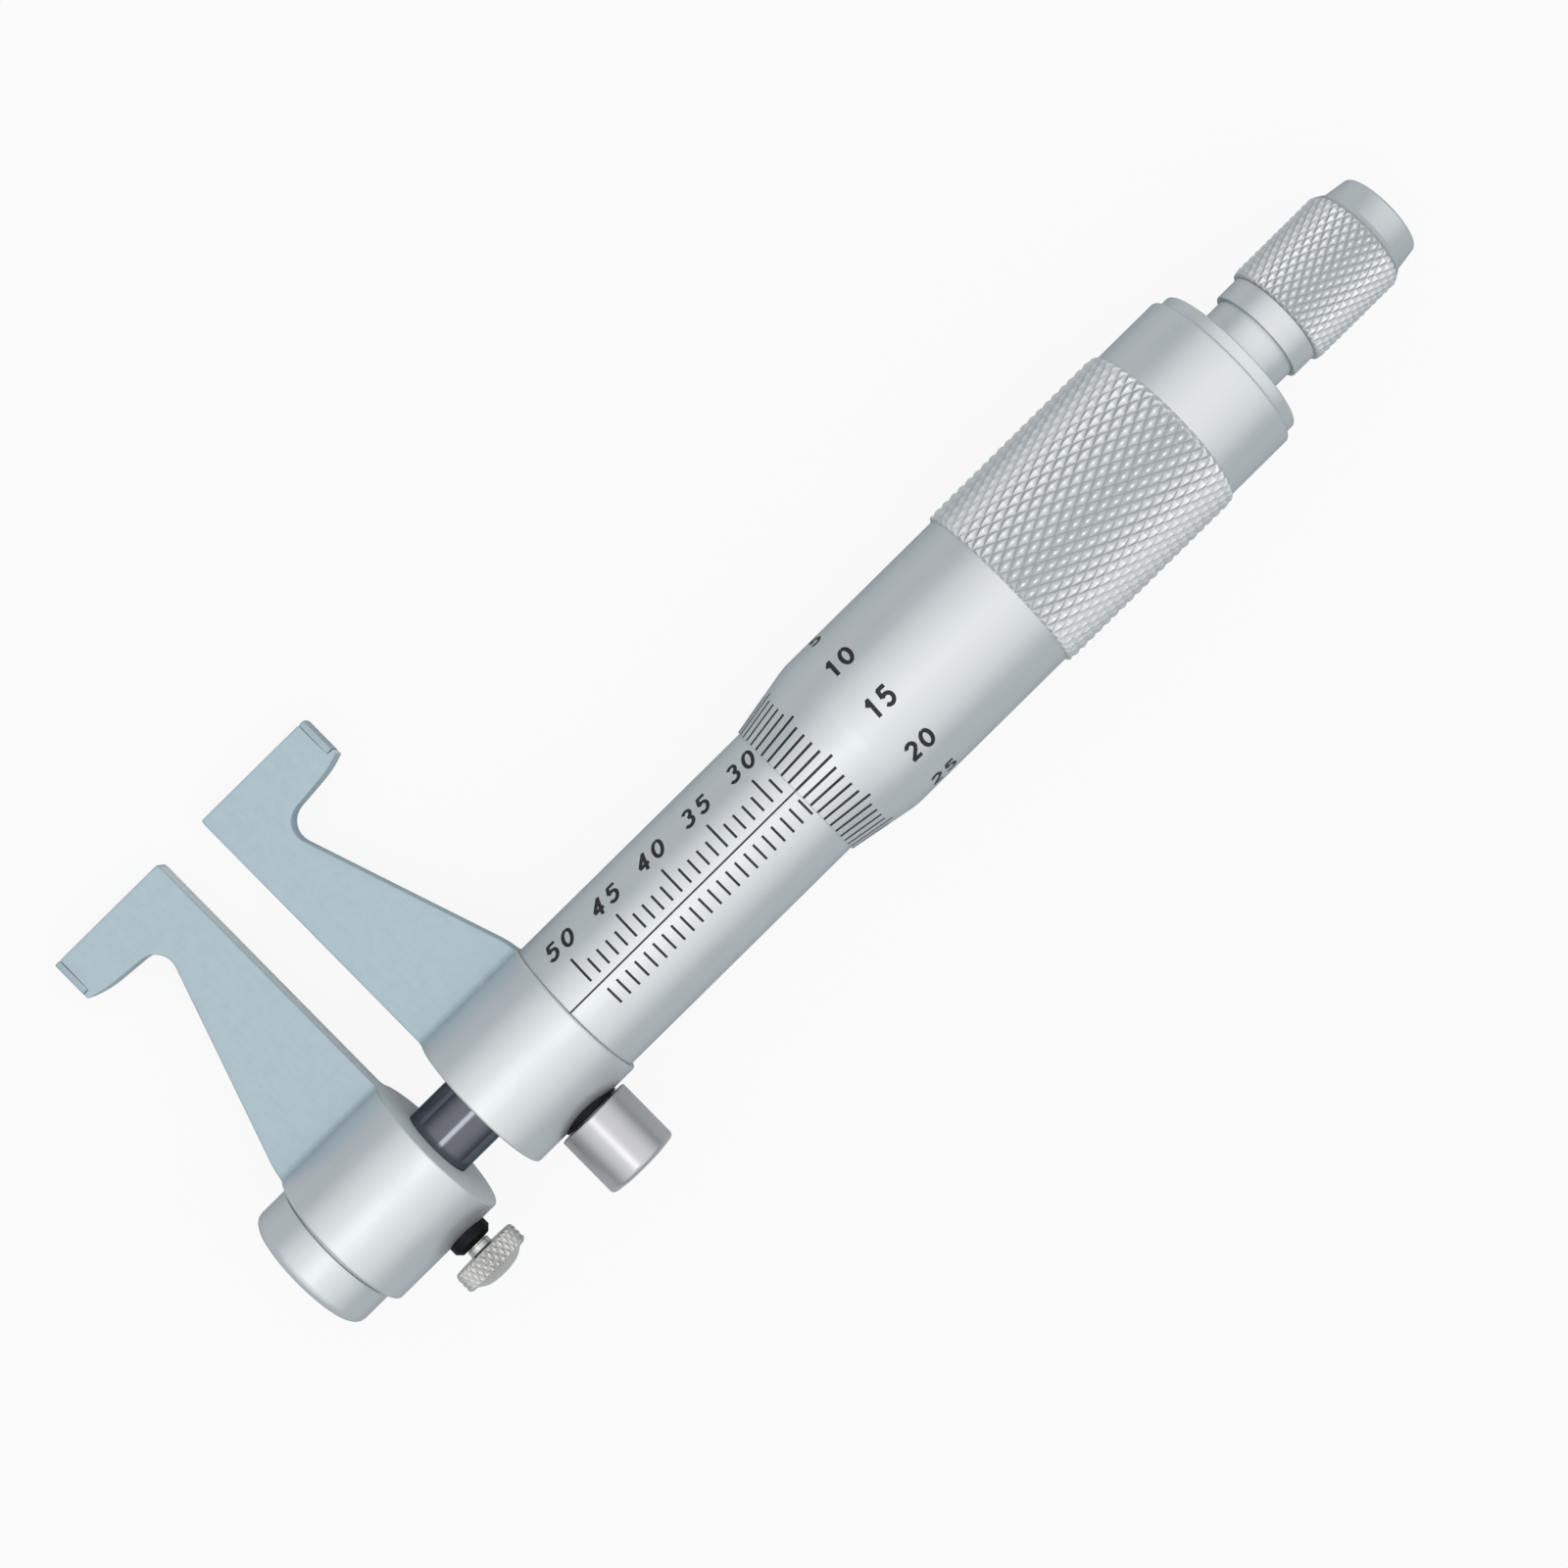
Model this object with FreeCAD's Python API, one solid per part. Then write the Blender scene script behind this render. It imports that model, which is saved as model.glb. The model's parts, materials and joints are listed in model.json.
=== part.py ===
import FreeCAD, Part
import math
import os
from FreeCAD import Placement, Rotation, Vector

# Inside micrometer with two caliper jaws, in millimetres.
# Working frame: the measuring axis is X, with the ratchet stop at +X. Both jaws reach
# towards +Y, and the fixed hub's thimble-side face is at x = 0. The moving jaw, its
# spindle and the thimble all slide towards -X as the jaws open.

# Measuring range
smallest_reading = 25.0
largest_reading = 50.0
reading = 28.15

# Fits, as radial or end clearances
seat_fit = 0.01
slide_fit = 0.03
thread_fit = 0.05
turning_gap = 0.12
edge_break = 0.22

# Jaws
hub_radius = 6.79
hub_length = 10.8
jaw_reach = 31.65
jaw_thickness = 3.0
tip_overhang = 0.85
tip_face_height = 3.72
tip_lead_length = 1.5
tip_lead_height = 4.21
tip_depth = 7.61
tip_root_height = 4.72
lead_radius = 9.0
notch_radius = 1.8
flank_radius = 8.0
flank_foot_rise = 0.28
back_corner_radius = 0.35
web_fillet = 0.7

# Hard measuring pads let into the jaw ends
pad_height = 3.25
pad_thickness = 0.65
crown_radius = 11.0
pad_proud = 0.1

# Barrel, the bearing and nut that the spindle and screw run in
barrel_lip = 1.2
spigot_radius = 4.6
barrel_length = 41.0
nut_inset = 5.0
nut_overhang = 6.3
nut_radius = 4.4
slit_width = 0.8
slit_length = 8.8
slit_count = 3

# Graduated sleeve
sleeve_radius = 6.41
sleeve_wall = 0.8
spanner_hole_radius = 0.55
spanner_hole_place = 8.0

# Adjusting nut on the slit end of the barrel
adjuster_inset = 1.3
adjuster_length = 4.0
adjuster_radius = 5.2
adjuster_slot = 1.0
adjuster_slot_depth = 1.2

# Spindle and its drive
spindle_radius = 3.1
spindle_length = 46.7
stub_radius = 2.6
stub_overrun = 2.2
keyway_depth = 0.8
keyway_width = 2.0
key_length = 5.0
key_place = -8.0
drive_bore_radius = 2.35
drive_bore_depth = 5.7
thrust_disc_radius = 1.5
thrust_disc_thickness = 1.2
nose_head_radius = 2.1
nose_head_length = 1.4
nose_neck_radius = 1.3

# End cap that holds the moving jaw against the spindle's shoulder
cap_radius = 5.95
cap_length = 3.9
cap_corner = 0.6

# Lock knob on the fixed hub, with its bush and brass plug
lock_place = -5.0
lock_bush_radius = 3.05
lock_bush_foot = 4.75
lock_bush_top = 7.55
lock_stem_radius = 1.7
lock_plug_radius = 1.4
lock_plug_gap = 0.1
lock_plug_length = 2.1
lock_knob_radius = 3.38
lock_knob_top = 13.0
lock_knob_corner = 0.5
lock_knob_dome = 0.25
lock_knob_flat = 1.6

# Clamp screw on the moving hub, with its bush and brass plug
clamp_place = 3.4
clamp_bush_radius = 1.82
clamp_bush_foot = 4.3
clamp_bush_top = 7.9
clamp_bush_bevel = 0.5
clamp_stem_radius = 0.9
clamp_plug_gap = 0.05
clamp_neck_radius = 1.05
clamp_head_radius = 3.09
clamp_head_foot = 8.64
clamp_head_top = 10.46
clamp_dome_radius = 2.45
clamp_dome_height = 0.75
clamp_dome_flat = 1.2

# Thimble
first_line_place = 2.96
thimble_edge_radius = 6.57
thimble_bore = 6.47
thimble_cone_length = 6.2
thimble_radius = 7.71
thimble_length = 48.0
knurl_radius = 8.09
knurl_start = 23.0
knurl_length = 18.7
thimble_corner = 0.35
web_thickness = 3.2

# Measuring screw
screw_radius = 3.0
tail_taper = 0.35
tail_stub_radius = 2.2
tail_stub_length = 2.7

# Ratchet stop
flange_radius = 7.2
flange_thickness = 1.15
neck_radius = 3.97
neck_length = 2.75
axle_radius = 2.0
axle_flat = 1.6
axle_length = 9.8
collar_radius = 4.38
collar_length = 2.2
collar_spigot_length = 1.15
knob_radius = 4.84
knob_length = 11.9
knob_knurl_length = 8.7
knob_waist_radius = 4.2
knob_waist_place = 9.7
knob_end_radius = 3.78
knob_corner = 0.35
knob_cavity_radius = 3.75
knob_cavity_length = 9.3
tooth_count = 12
tooth_height = 0.4
tooth_width = 1.1
tooth_inner_radius = 2.45
pawl_radius = 3.5
pawl_thickness = 1.2
spring_radius = 2.9
spring_wire_radius = 0.25
spring_turns = 2
stop_screw_head_radius = 3.0
stop_screw_head_length = 1.0
stop_screw_shank_radius = 0.8
stop_screw_shank_length = 3.0
stop_screw_slot = 0.6

axis = Vector(1, 0, 0)
across = Vector(0, 1, 0)
upward = Vector(0, 0, 1)
origin = Vector(0, 0, 0)

# Places along the axis that the sizes above settle
moving_face = tip_overhang - reading
moving_hub_start = moving_face + tip_overhang
moving_hub_end = moving_hub_start + hub_length
spindle_end = moving_hub_end + spindle_length
most_open = reading - largest_reading
most_closed = reading - smallest_reading
thimble_edge = first_line_place + largest_reading - reading
thimble_end = thimble_edge + thimble_length
flange_end = thimble_end + flange_thickness
neck_end = flange_end + neck_length
collar_start = neck_end + turning_gap
knob_start = collar_start + collar_length
nut_start = barrel_length - nut_inset
nut_end = barrel_length + nut_overhang
slit_start = nut_end - slit_length
nut_bore = screw_radius + thread_fit
spindle_bore = spindle_radius + slide_fit


def outline(corners):
    """Closed wire through (x, y, radius) corners, each rounded by an arc tangent to both sides."""
    points = [Vector(x, y, 0) for x, y, radius in corners]
    edges = []
    arc_ends = []
    for number, (x, y, radius) in enumerate(corners):
        here = points[number]
        back = (points[number - 1] - here).normalize()
        ahead = (points[(number + 1) % len(points)] - here).normalize()
        half = math.acos(max(-1.0, min(1.0, back.dot(ahead)))) / 2
        reach = radius / math.tan(half)
        first = here + back * reach
        last = here + ahead * reach
        if radius > 0:
            inward = (back + ahead).normalize()
            middle = here + inward * (radius / math.sin(half) - radius)
            edges.append(Part.Arc(first, middle, last).toShape())
        arc_ends.append((first, last))
    for number, (first, last) in enumerate(arc_ends):
        following = arc_ends[(number + 1) % len(arc_ends)][0]
        if last.distanceToPoint(following) > 1e-6:
            edges.append(Part.LineSegment(last, following).toShape())
    return Part.Wire(Part.__sortEdges__(edges))


def turned(corners):
    """Solid of revolution about the measuring axis from (x, radius, corner radius) points."""
    return Part.Face(outline(corners)).revolve(origin, axis, 360)


def rod(start, end, radius):
    """Round bar on the measuring axis."""
    return Part.makeCylinder(radius, end - start, Vector(start, 0, 0), axis)


def radial_rod(place, inner, outer, radius):
    """Round bar on the -Y side, square to the measuring axis, between two distances from it."""
    return Part.makeCylinder(radius, outer - inner, Vector(place, -inner, 0), -across)


def block(start, size):
    """Box from its lowest corner."""
    return Part.makeBox(size[0], size[1], size[2], Vector(*start))


def stand_on_side(shape, place):
    """Turn a shape made along X so that it points along -Y at one place on the axis."""
    shape = shape.copy()
    shape.Placement = Placement(Vector(place, 0, 0), Rotation(upward, -90))
    return shape


def plate_section():
    """Jaw plate seen along the axis, with the fillets that run it into the round hub."""
    half = jaw_thickness / 2
    stand = hub_radius + web_fillet
    centre_y = math.sqrt(stand ** 2 - (half + web_fillet) ** 2)
    foot_y = centre_y * hub_radius / stand
    foot_z = (half + web_fillet) * hub_radius / stand
    edges = []
    for side in (1, -1):
        centre = Vector(0, centre_y, side * (half + web_fillet))
        on_plate = Vector(0, centre_y, side * half)
        on_hub = Vector(0, foot_y, side * foot_z)
        towards = ((on_plate - centre) + (on_hub - centre)).normalize()
        edges.append(Part.Arc(on_plate, centre + towards * web_fillet, on_hub).toShape())
        edges.append(Part.LineSegment(Vector(0, jaw_reach, side * half), on_plate).toShape())
        edges.append(Part.LineSegment(on_hub, Vector(0, 0, side * foot_z)).toShape())
    edges.append(Part.LineSegment(Vector(0, jaw_reach, -half), Vector(0, jaw_reach, half)).toShape())
    edges.append(Part.LineSegment(Vector(0, 0, -foot_z), Vector(0, 0, foot_z)).toShape())
    return Part.Face(Part.Wire(Part.__sortEdges__(edges)))


def jaw_profile():
    """Jaw seen from the front, measured inward from its measuring face at x = 0."""
    hub_face = tip_overhang
    back = tip_overhang + hub_length
    pad_foot = jaw_reach - pad_height
    corners = [
        (pad_thickness, jaw_reach, 0),
        (pad_thickness, pad_foot, 0),
        (pad_proud, pad_foot, 0),
        (pad_proud, jaw_reach - tip_face_height, 0),
        (tip_lead_length, jaw_reach - tip_lead_height, lead_radius),
        (tip_depth, jaw_reach - tip_root_height, notch_radius),
        (hub_face, hub_radius + flank_foot_rise, flank_radius),
        (hub_face, 0, 0),
        (back, 0, 0),
        (back, jaw_reach, back_corner_radius),
    ]
    return Part.Face(outline(corners))


def jaw_blank():
    """Hub and plate of one jaw, cast as one, before its bores."""
    plate = plate_section().extrude(axis * (tip_overhang + hub_length))
    side = jaw_profile()
    side.translate(-upward * hub_radius)
    plate = plate.common(side.extrude(upward * 2 * hub_radius))
    start = tip_overhang
    end = tip_overhang + hub_length
    hub = turned([
        (start, 0, 0),
        (start, hub_radius, 0),
        (end - edge_break, hub_radius, 0),
        (end, hub_radius - edge_break, 0),
        (end, 0, 0),
    ])
    return hub.fuse(plate).removeSplitter()


def measuring_pad():
    """Hard pad with a crowned face, smaller in radius than the least bore it measures."""
    half = jaw_thickness / 2
    sag = crown_radius - math.sqrt(crown_radius ** 2 - half ** 2)
    foot = jaw_reach - pad_height
    face = Part.Arc(Vector(sag, foot, -half), Vector(0, foot, 0), Vector(sag, foot, half)).toShape()
    back = Part.makePolygon([
        Vector(sag, foot, half),
        Vector(pad_thickness, foot, half),
        Vector(pad_thickness, foot, -half),
        Vector(sag, foot, -half),
    ])
    return Part.Face(Part.Wire([face] + back.Edges)).extrude(across * pad_height)


def on_fixed_side(shape):
    """Mirror a jaw shape so that its measuring face looks to +X, and set it on the fixed hub."""
    shape = shape.mirror(origin, axis)
    shape.translate(axis * tip_overhang)
    return shape


def on_moving_side(shape):
    """Set a jaw shape where the present reading puts the moving jaw."""
    shape = shape.copy()
    shape.translate(axis * moving_face)
    return shape


def fixed_jaw():
    """Fixed jaw, bored for the barrel's spigot and for the lock bush."""
    bore = rod(barrel_lip - hub_length, hub_length, spigot_radius + seat_fit)
    lip_bore = rod(-2 * hub_length, 0, spindle_bore + turning_gap)
    bush_hole = radial_rod(lock_place, 0, 2 * hub_radius, lock_bush_radius + seat_fit)
    return on_fixed_side(jaw_blank()).cut(bore).cut(lip_bore).cut(bush_hole)


def moving_jaw():
    """Moving jaw, bored for the spindle's stub, the clamp bush and the clamp plug."""
    place = moving_hub_end - clamp_place
    bore = rod(moving_hub_start - hub_length, spindle_end, stub_radius + seat_fit)
    plug_hole = radial_rod(place, 0, hub_radius, clamp_stem_radius + thread_fit)
    bush_hole = radial_rod(place, clamp_bush_foot, 2 * hub_radius, clamp_bush_radius + seat_fit)
    return on_moving_side(jaw_blank()).cut(bore).cut(plug_hole).cut(bush_hole)


def barrel():
    """Barrel: spigot in the fixed hub, bearing for the spindle, and the slit nut at its far end."""
    start = barrel_lip - hub_length
    body_radius = sleeve_radius - sleeve_wall
    body = turned([
        (start, 0, 0),
        (start, spigot_radius, 0),
        (0, spigot_radius, 0),
        (0, body_radius, 0),
        (barrel_length, body_radius, 0),
        (barrel_length, nut_radius, 0),
        (nut_end, nut_radius, 0),
        (nut_end, 0, 0),
    ])
    body = body.cut(rod(start, nut_start, spindle_bore)).cut(rod(start, nut_end, nut_bore))
    body = body.cut(radial_rod(lock_place, 0, hub_radius, lock_plug_radius + thread_fit))
    body = body.cut(key_blank(seat_fit, -hub_radius))
    slit = block((slit_start, 0, -slit_width / 2), (nut_end, hub_radius, slit_width))
    for number in range(slit_count):
        turn = Rotation(axis, 90 + number * 360 / slit_count)
        body = body.cut(slit.transformed(Placement(origin, turn).toMatrix(), True))
    return body


def key_blank(clearance, depth):
    """Straight key on the -Z side, from the keyway's floor down to a stated depth."""
    top = -spindle_radius + keyway_depth - slide_fit
    width = keyway_width + 2 * clearance
    corner = (key_place - clearance, -width / 2, depth)
    return block(corner, (key_length + 2 * clearance, width, top - depth))


def guide_key():
    """Key that keeps the spindle, and so the moving jaw, from turning."""
    return key_blank(0, -spigot_radius).common(rod(key_place, 0, spigot_radius))


def sleeve():
    """Graduated sleeve, a thin tube on the barrel with a spanner hole for setting zero."""
    inner = sleeve_radius - sleeve_wall + seat_fit
    body = turned([
        (seat_fit, inner, 0),
        (seat_fit, sleeve_radius, 0),
        (barrel_length, sleeve_radius, 0),
        (barrel_length, inner, 0),
    ])
    hole = Part.makeCylinder(spanner_hole_radius, hub_radius, Vector(spanner_hole_place, 0, 0), -upward)
    return body.cut(hole)


def adjusting_nut():
    """Nut that closes the slit end of the barrel to take up wear in the thread."""
    end = nut_end - adjuster_inset
    start = end - adjuster_length
    body = turned([
        (start, nut_radius + seat_fit, 0),
        (start, adjuster_radius, 0),
        (end, adjuster_radius, 0),
        (end, nut_radius + seat_fit, 0),
    ])
    corner = (end - adjuster_slot_depth, -adjuster_radius, -adjuster_slot / 2)
    return body.cut(block(corner, (adjuster_slot_depth, 2 * adjuster_radius, adjuster_slot)))


def lock_bush():
    """Black bush let into the fixed hub, in which the lock knob's stem is threaded."""
    body = radial_rod(lock_place, lock_bush_foot, lock_bush_top, lock_bush_radius)
    return body.cut(radial_rod(lock_place, 0, 2 * lock_bush_top, lock_stem_radius + thread_fit))


def lock_plug():
    """Brass plug that the lock knob presses on the spindle."""
    inner = spindle_radius + lock_plug_gap
    return radial_rod(lock_place, inner, inner + lock_plug_length, lock_plug_radius)


def lock_knob():
    """Plain round lock knob with its stem and a slightly domed end."""
    stem_end = spindle_radius + lock_plug_gap + lock_plug_length
    foot = lock_bush_top + lock_plug_gap
    shoulder = lock_knob_top - lock_knob_dome
    body = turned([
        (stem_end, 0, 0),
        (stem_end, lock_stem_radius, 0),
        (foot, lock_stem_radius, 0),
        (foot, lock_knob_radius, 0),
        (shoulder - lock_knob_corner, lock_knob_radius, 0),
        (shoulder, lock_knob_radius - lock_knob_corner, 0),
        (lock_knob_top, lock_knob_flat, 0),
        (lock_knob_top, 0, 0),
    ])
    return stand_on_side(body, lock_place)


def spindle():
    """Sliding spindle with its keyway, the stub that carries the jaw, and the drive socket."""
    stub_start = moving_hub_start - stub_overrun
    body = turned([
        (stub_start, 0, 0),
        (stub_start, stub_radius, 0),
        (moving_hub_end, stub_radius, 0),
        (moving_hub_end, spindle_radius, 0),
        (spindle_end, spindle_radius, 0),
        (spindle_end, drive_bore_radius, 0),
        (spindle_end - drive_bore_depth, drive_bore_radius, 0),
        (spindle_end - drive_bore_depth, 0, 0),
    ])
    start = key_place - most_closed - edge_break
    end = key_place + key_length - most_open + edge_break
    width = keyway_width + 2 * slide_fit
    corner = (start, -width / 2, -2 * spindle_radius)
    return body.cut(block(corner, (end - start, width, spindle_radius + keyway_depth)))


def end_cap():
    """Turned cap nut on the spindle's stub, closing the moving hub."""
    outer = moving_hub_start - cap_length
    floor = moving_hub_start - stub_overrun - turning_gap
    return turned([
        (outer, 0, 0),
        (outer, cap_radius - cap_corner, 0),
        (outer + cap_corner, cap_radius, 0),
        (moving_hub_start, cap_radius, 0),
        (moving_hub_start, stub_radius + seat_fit, 0),
        (floor, stub_radius + seat_fit, 0),
        (floor, 0, 0),
    ])


def clamp_bush():
    """Small black bush let into the moving hub, bevelled round its outer edge."""
    body = turned([
        (clamp_bush_foot, clamp_stem_radius + thread_fit, 0),
        (clamp_bush_foot, clamp_bush_radius, 0),
        (clamp_bush_top - clamp_bush_bevel, clamp_bush_radius, 0),
        (clamp_bush_top, clamp_bush_radius - clamp_bush_bevel, 0),
        (clamp_bush_top, clamp_stem_radius + thread_fit, 0),
    ])
    return stand_on_side(body, moving_hub_end - clamp_place)


def clamp_plug():
    """Brass plug that the clamp screw presses on the spindle's stub."""
    inner = stub_radius + clamp_plug_gap
    return radial_rod(moving_hub_end - clamp_place, inner, clamp_bush_foot, clamp_stem_radius)


def clamp_screw():
    """Clamp screw: stem, neck, round head and a low domed end."""
    neck_foot = clamp_bush_top + turning_gap
    body = turned([
        (clamp_bush_foot, 0, 0),
        (clamp_bush_foot, clamp_stem_radius, 0),
        (neck_foot, clamp_stem_radius, 0),
        (neck_foot, clamp_neck_radius, 0),
        (clamp_head_foot, clamp_neck_radius, 0),
        (clamp_head_foot, clamp_head_radius, 0),
        (clamp_head_top, clamp_head_radius, 0),
        (clamp_head_top, clamp_dome_radius, 0),
        (clamp_head_top + clamp_dome_height, clamp_dome_flat, 0),
        (clamp_head_top + clamp_dome_height, 0, 0),
    ])
    return stand_on_side(body, moving_hub_end - clamp_place)


def thrust_disc():
    """Hard disc between the bottom of the spindle's socket and the nose of the measuring screw."""
    floor = spindle_end - drive_bore_depth
    return rod(floor, floor + thrust_disc_thickness, thrust_disc_radius)


def nose_places():
    """Start of the nose head, and start of its neck, on the measuring screw."""
    head_start = spindle_end - drive_bore_depth + thrust_disc_thickness + slide_fit
    return head_start, head_start + nose_head_length


def retaining_nut():
    """Ring screwed into the spindle's socket behind the nose head, so that the screw pulls too."""
    start = nose_places()[1] + slide_fit
    return turned([
        (start, nose_neck_radius + turning_gap, 0),
        (start, drive_bore_radius - seat_fit, 0),
        (spindle_end, drive_bore_radius - seat_fit, 0),
        (spindle_end, nose_neck_radius + turning_gap, 0),
    ])


def web_start():
    """Inner face of the thimble's closed end."""
    return thimble_end - web_thickness


def measuring_screw():
    """Screw with a turned-down nose that swivels in the spindle, and a tapered tail in the thimble."""
    head_start, neck_start = nose_places()
    shank_start = spindle_end + turning_gap
    tail_end = thimble_end + tail_stub_length
    return turned([
        (head_start, 0, 0),
        (head_start, nose_head_radius, 0),
        (neck_start, nose_head_radius, 0),
        (neck_start, nose_neck_radius, 0),
        (shank_start, nose_neck_radius, 0),
        (shank_start, screw_radius, 0),
        (web_start(), screw_radius, 0),
        (thimble_end, screw_radius - tail_taper, 0),
        (thimble_end, tail_stub_radius, 0),
        (tail_end, tail_stub_radius, 0),
        (tail_end, 0, 0),
    ])


def thimble():
    """Thimble: blunt graduated edge, long cone, grip band and the closed end that holds the screw."""
    cone_end = thimble_edge + thimble_cone_length
    grip_start = thimble_edge + knurl_start
    grip_end = grip_start + knurl_length
    return turned([
        (thimble_edge, thimble_bore, 0),
        (thimble_edge, thimble_edge_radius, 0),
        (cone_end, thimble_radius, 0),
        (grip_start, thimble_radius, 0),
        (grip_start, knurl_radius, 0),
        (grip_end, knurl_radius, 0),
        (grip_end, thimble_radius, 0),
        (thimble_end - thimble_corner, thimble_radius, 0),
        (thimble_end, thimble_radius - thimble_corner, 0),
        (thimble_end, screw_radius - tail_taper + seat_fit, 0),
        (web_start(), screw_radius + seat_fit, 0),
        (web_start(), thimble_bore, 0),
    ])


def axle_shape(clearance):
    """Ratchet axle with a flat on each side, along which the toothed pawl can slide."""
    bar = rod(neck_end, neck_end + axle_length, axle_radius + clearance)
    half = axle_flat + clearance
    flats = block((neck_end, -half, -2 * axle_radius), (axle_length, 2 * half, 4 * axle_radius))
    return bar.common(flats)


def ratchet_body():
    """Flange and neck screwed on the tail of the measuring screw, with the ratchet's axle."""
    body = turned([
        (thimble_end, 0, 0),
        (thimble_end, flange_radius, 0),
        (flange_end, flange_radius, 0),
        (flange_end, neck_radius, 0),
        (neck_end, neck_radius, 0),
        (neck_end, 0, 0),
    ])
    socket = rod(thimble_end, thimble_end + tail_stub_length + turning_gap, tail_stub_radius + seat_fit)
    end = neck_end + axle_length
    screw_hole = rod(end - stop_screw_shank_length - seat_fit, end, stop_screw_shank_radius + seat_fit)
    return body.cut(socket).fuse(axle_shape(0)).cut(screw_hole)


def tooth_place():
    """Plane of the collar's toothed face."""
    return knob_start + collar_spigot_length


def tooth_bar(clearance):
    """One straight saw tooth lying along a radius, steep on one side and sloping on the other."""
    root = tooth_place()
    half = tooth_width / 2 - clearance
    crest = root - tooth_height + clearance
    side = Part.makePolygon([
        Vector(root, -half, tooth_inner_radius),
        Vector(root, half, tooth_inner_radius),
        Vector(crest, half, tooth_inner_radius),
        Vector(root, -half, tooth_inner_radius),
    ])
    return Part.Face(side).extrude(upward * (pawl_radius - tooth_inner_radius))


def tooth_ring(clearance):
    """All saw teeth of the ratchet, evenly round the axis."""
    tooth = tooth_bar(clearance)
    ring = []
    for number in range(tooth_count):
        turn = Rotation(axis, number * 360 / tooth_count)
        ring.append(tooth.transformed(Placement(origin, turn).toMatrix(), True))
    return ring


def ratchet_collar():
    """Collar that turns on the axle, with saw-tooth notches in its inner face."""
    bore = axle_radius + slide_fit
    body = turned([
        (collar_start, bore, 0),
        (collar_start, collar_radius, 0),
        (knob_start, collar_radius, 0),
        (knob_start, knob_cavity_radius - seat_fit, 0),
        (tooth_place(), knob_cavity_radius - seat_fit, 0),
        (tooth_place(), bore, 0),
    ])
    return body.cut(tooth_ring(0))


def ratchet_pawl():
    """Toothed disc that slides on the axle's flats and clicks over the collar's notches."""
    start = tooth_place() + slide_fit
    disc = rod(start, start + pawl_thickness, pawl_radius).cut(axle_shape(slide_fit))
    teeth = tooth_ring(slide_fit)
    for tooth in teeth:
        tooth.translate(axis * slide_fit)
    return disc.fuse(teeth).removeSplitter()


def ratchet_spring():
    """Compression spring that holds the pawl's teeth in the collar's notches."""
    start = tooth_place() + slide_fit + pawl_thickness + slide_fit + spring_wire_radius
    end = neck_end + axle_length - slide_fit - spring_wire_radius
    helix = Part.makeHelix((end - start) / spring_turns, end - start, spring_radius)
    low = spring_radius - spring_wire_radius
    high = spring_radius + spring_wire_radius
    section = Part.makePolygon([
        Vector(low, 0, -spring_wire_radius),
        Vector(high, 0, -spring_wire_radius),
        Vector(high, 0, spring_wire_radius),
        Vector(low, 0, spring_wire_radius),
        Vector(low, 0, -spring_wire_radius),
    ])
    coil = Part.Wire(helix).makePipeShell([section], True, True)
    coil.Placement = Placement(Vector(start, 0, 0), Rotation(across, 90))
    return coil


def stop_screw():
    """Slotted screw in the end of the axle, which holds the spring and the pawl."""
    start = neck_end + axle_length
    head = rod(start, start + stop_screw_head_length, stop_screw_head_radius)
    shank = rod(start - stop_screw_shank_length, start, stop_screw_shank_radius)
    corner = (start + stop_screw_head_length / 2, -stop_screw_head_radius, -stop_screw_slot / 2)
    slot = block(corner, (stop_screw_head_length, 2 * stop_screw_head_radius, stop_screw_slot))
    return head.fuse(shank).cut(slot)


def ratchet_knob():
    """Finger knob: grip band, bevel, smooth taper and rounded end over a closed cavity."""
    end = knob_start + knob_length
    cavity_end = knob_start + knob_cavity_length
    return turned([
        (knob_start, knob_cavity_radius, 0),
        (knob_start, knob_radius, 0),
        (knob_start + knob_knurl_length, knob_radius, 0),
        (knob_start + knob_waist_place, knob_waist_radius, 0),
        (end - knob_corner, knob_end_radius, 0),
        (end, knob_end_radius - knob_corner, 0),
        (end, 0, 0),
        (cavity_end, 0, 0),
        (cavity_end, knob_cavity_radius, 0),
    ])


def resting_roll():
    """Roll, in degrees, that brings the jaw tips down level with the underside of the grip band."""
    half = jaw_thickness / 2
    corner = math.hypot(jaw_reach, half)
    return math.degrees(math.asin(knurl_radius / corner) - math.atan2(half, jaw_reach))


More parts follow.
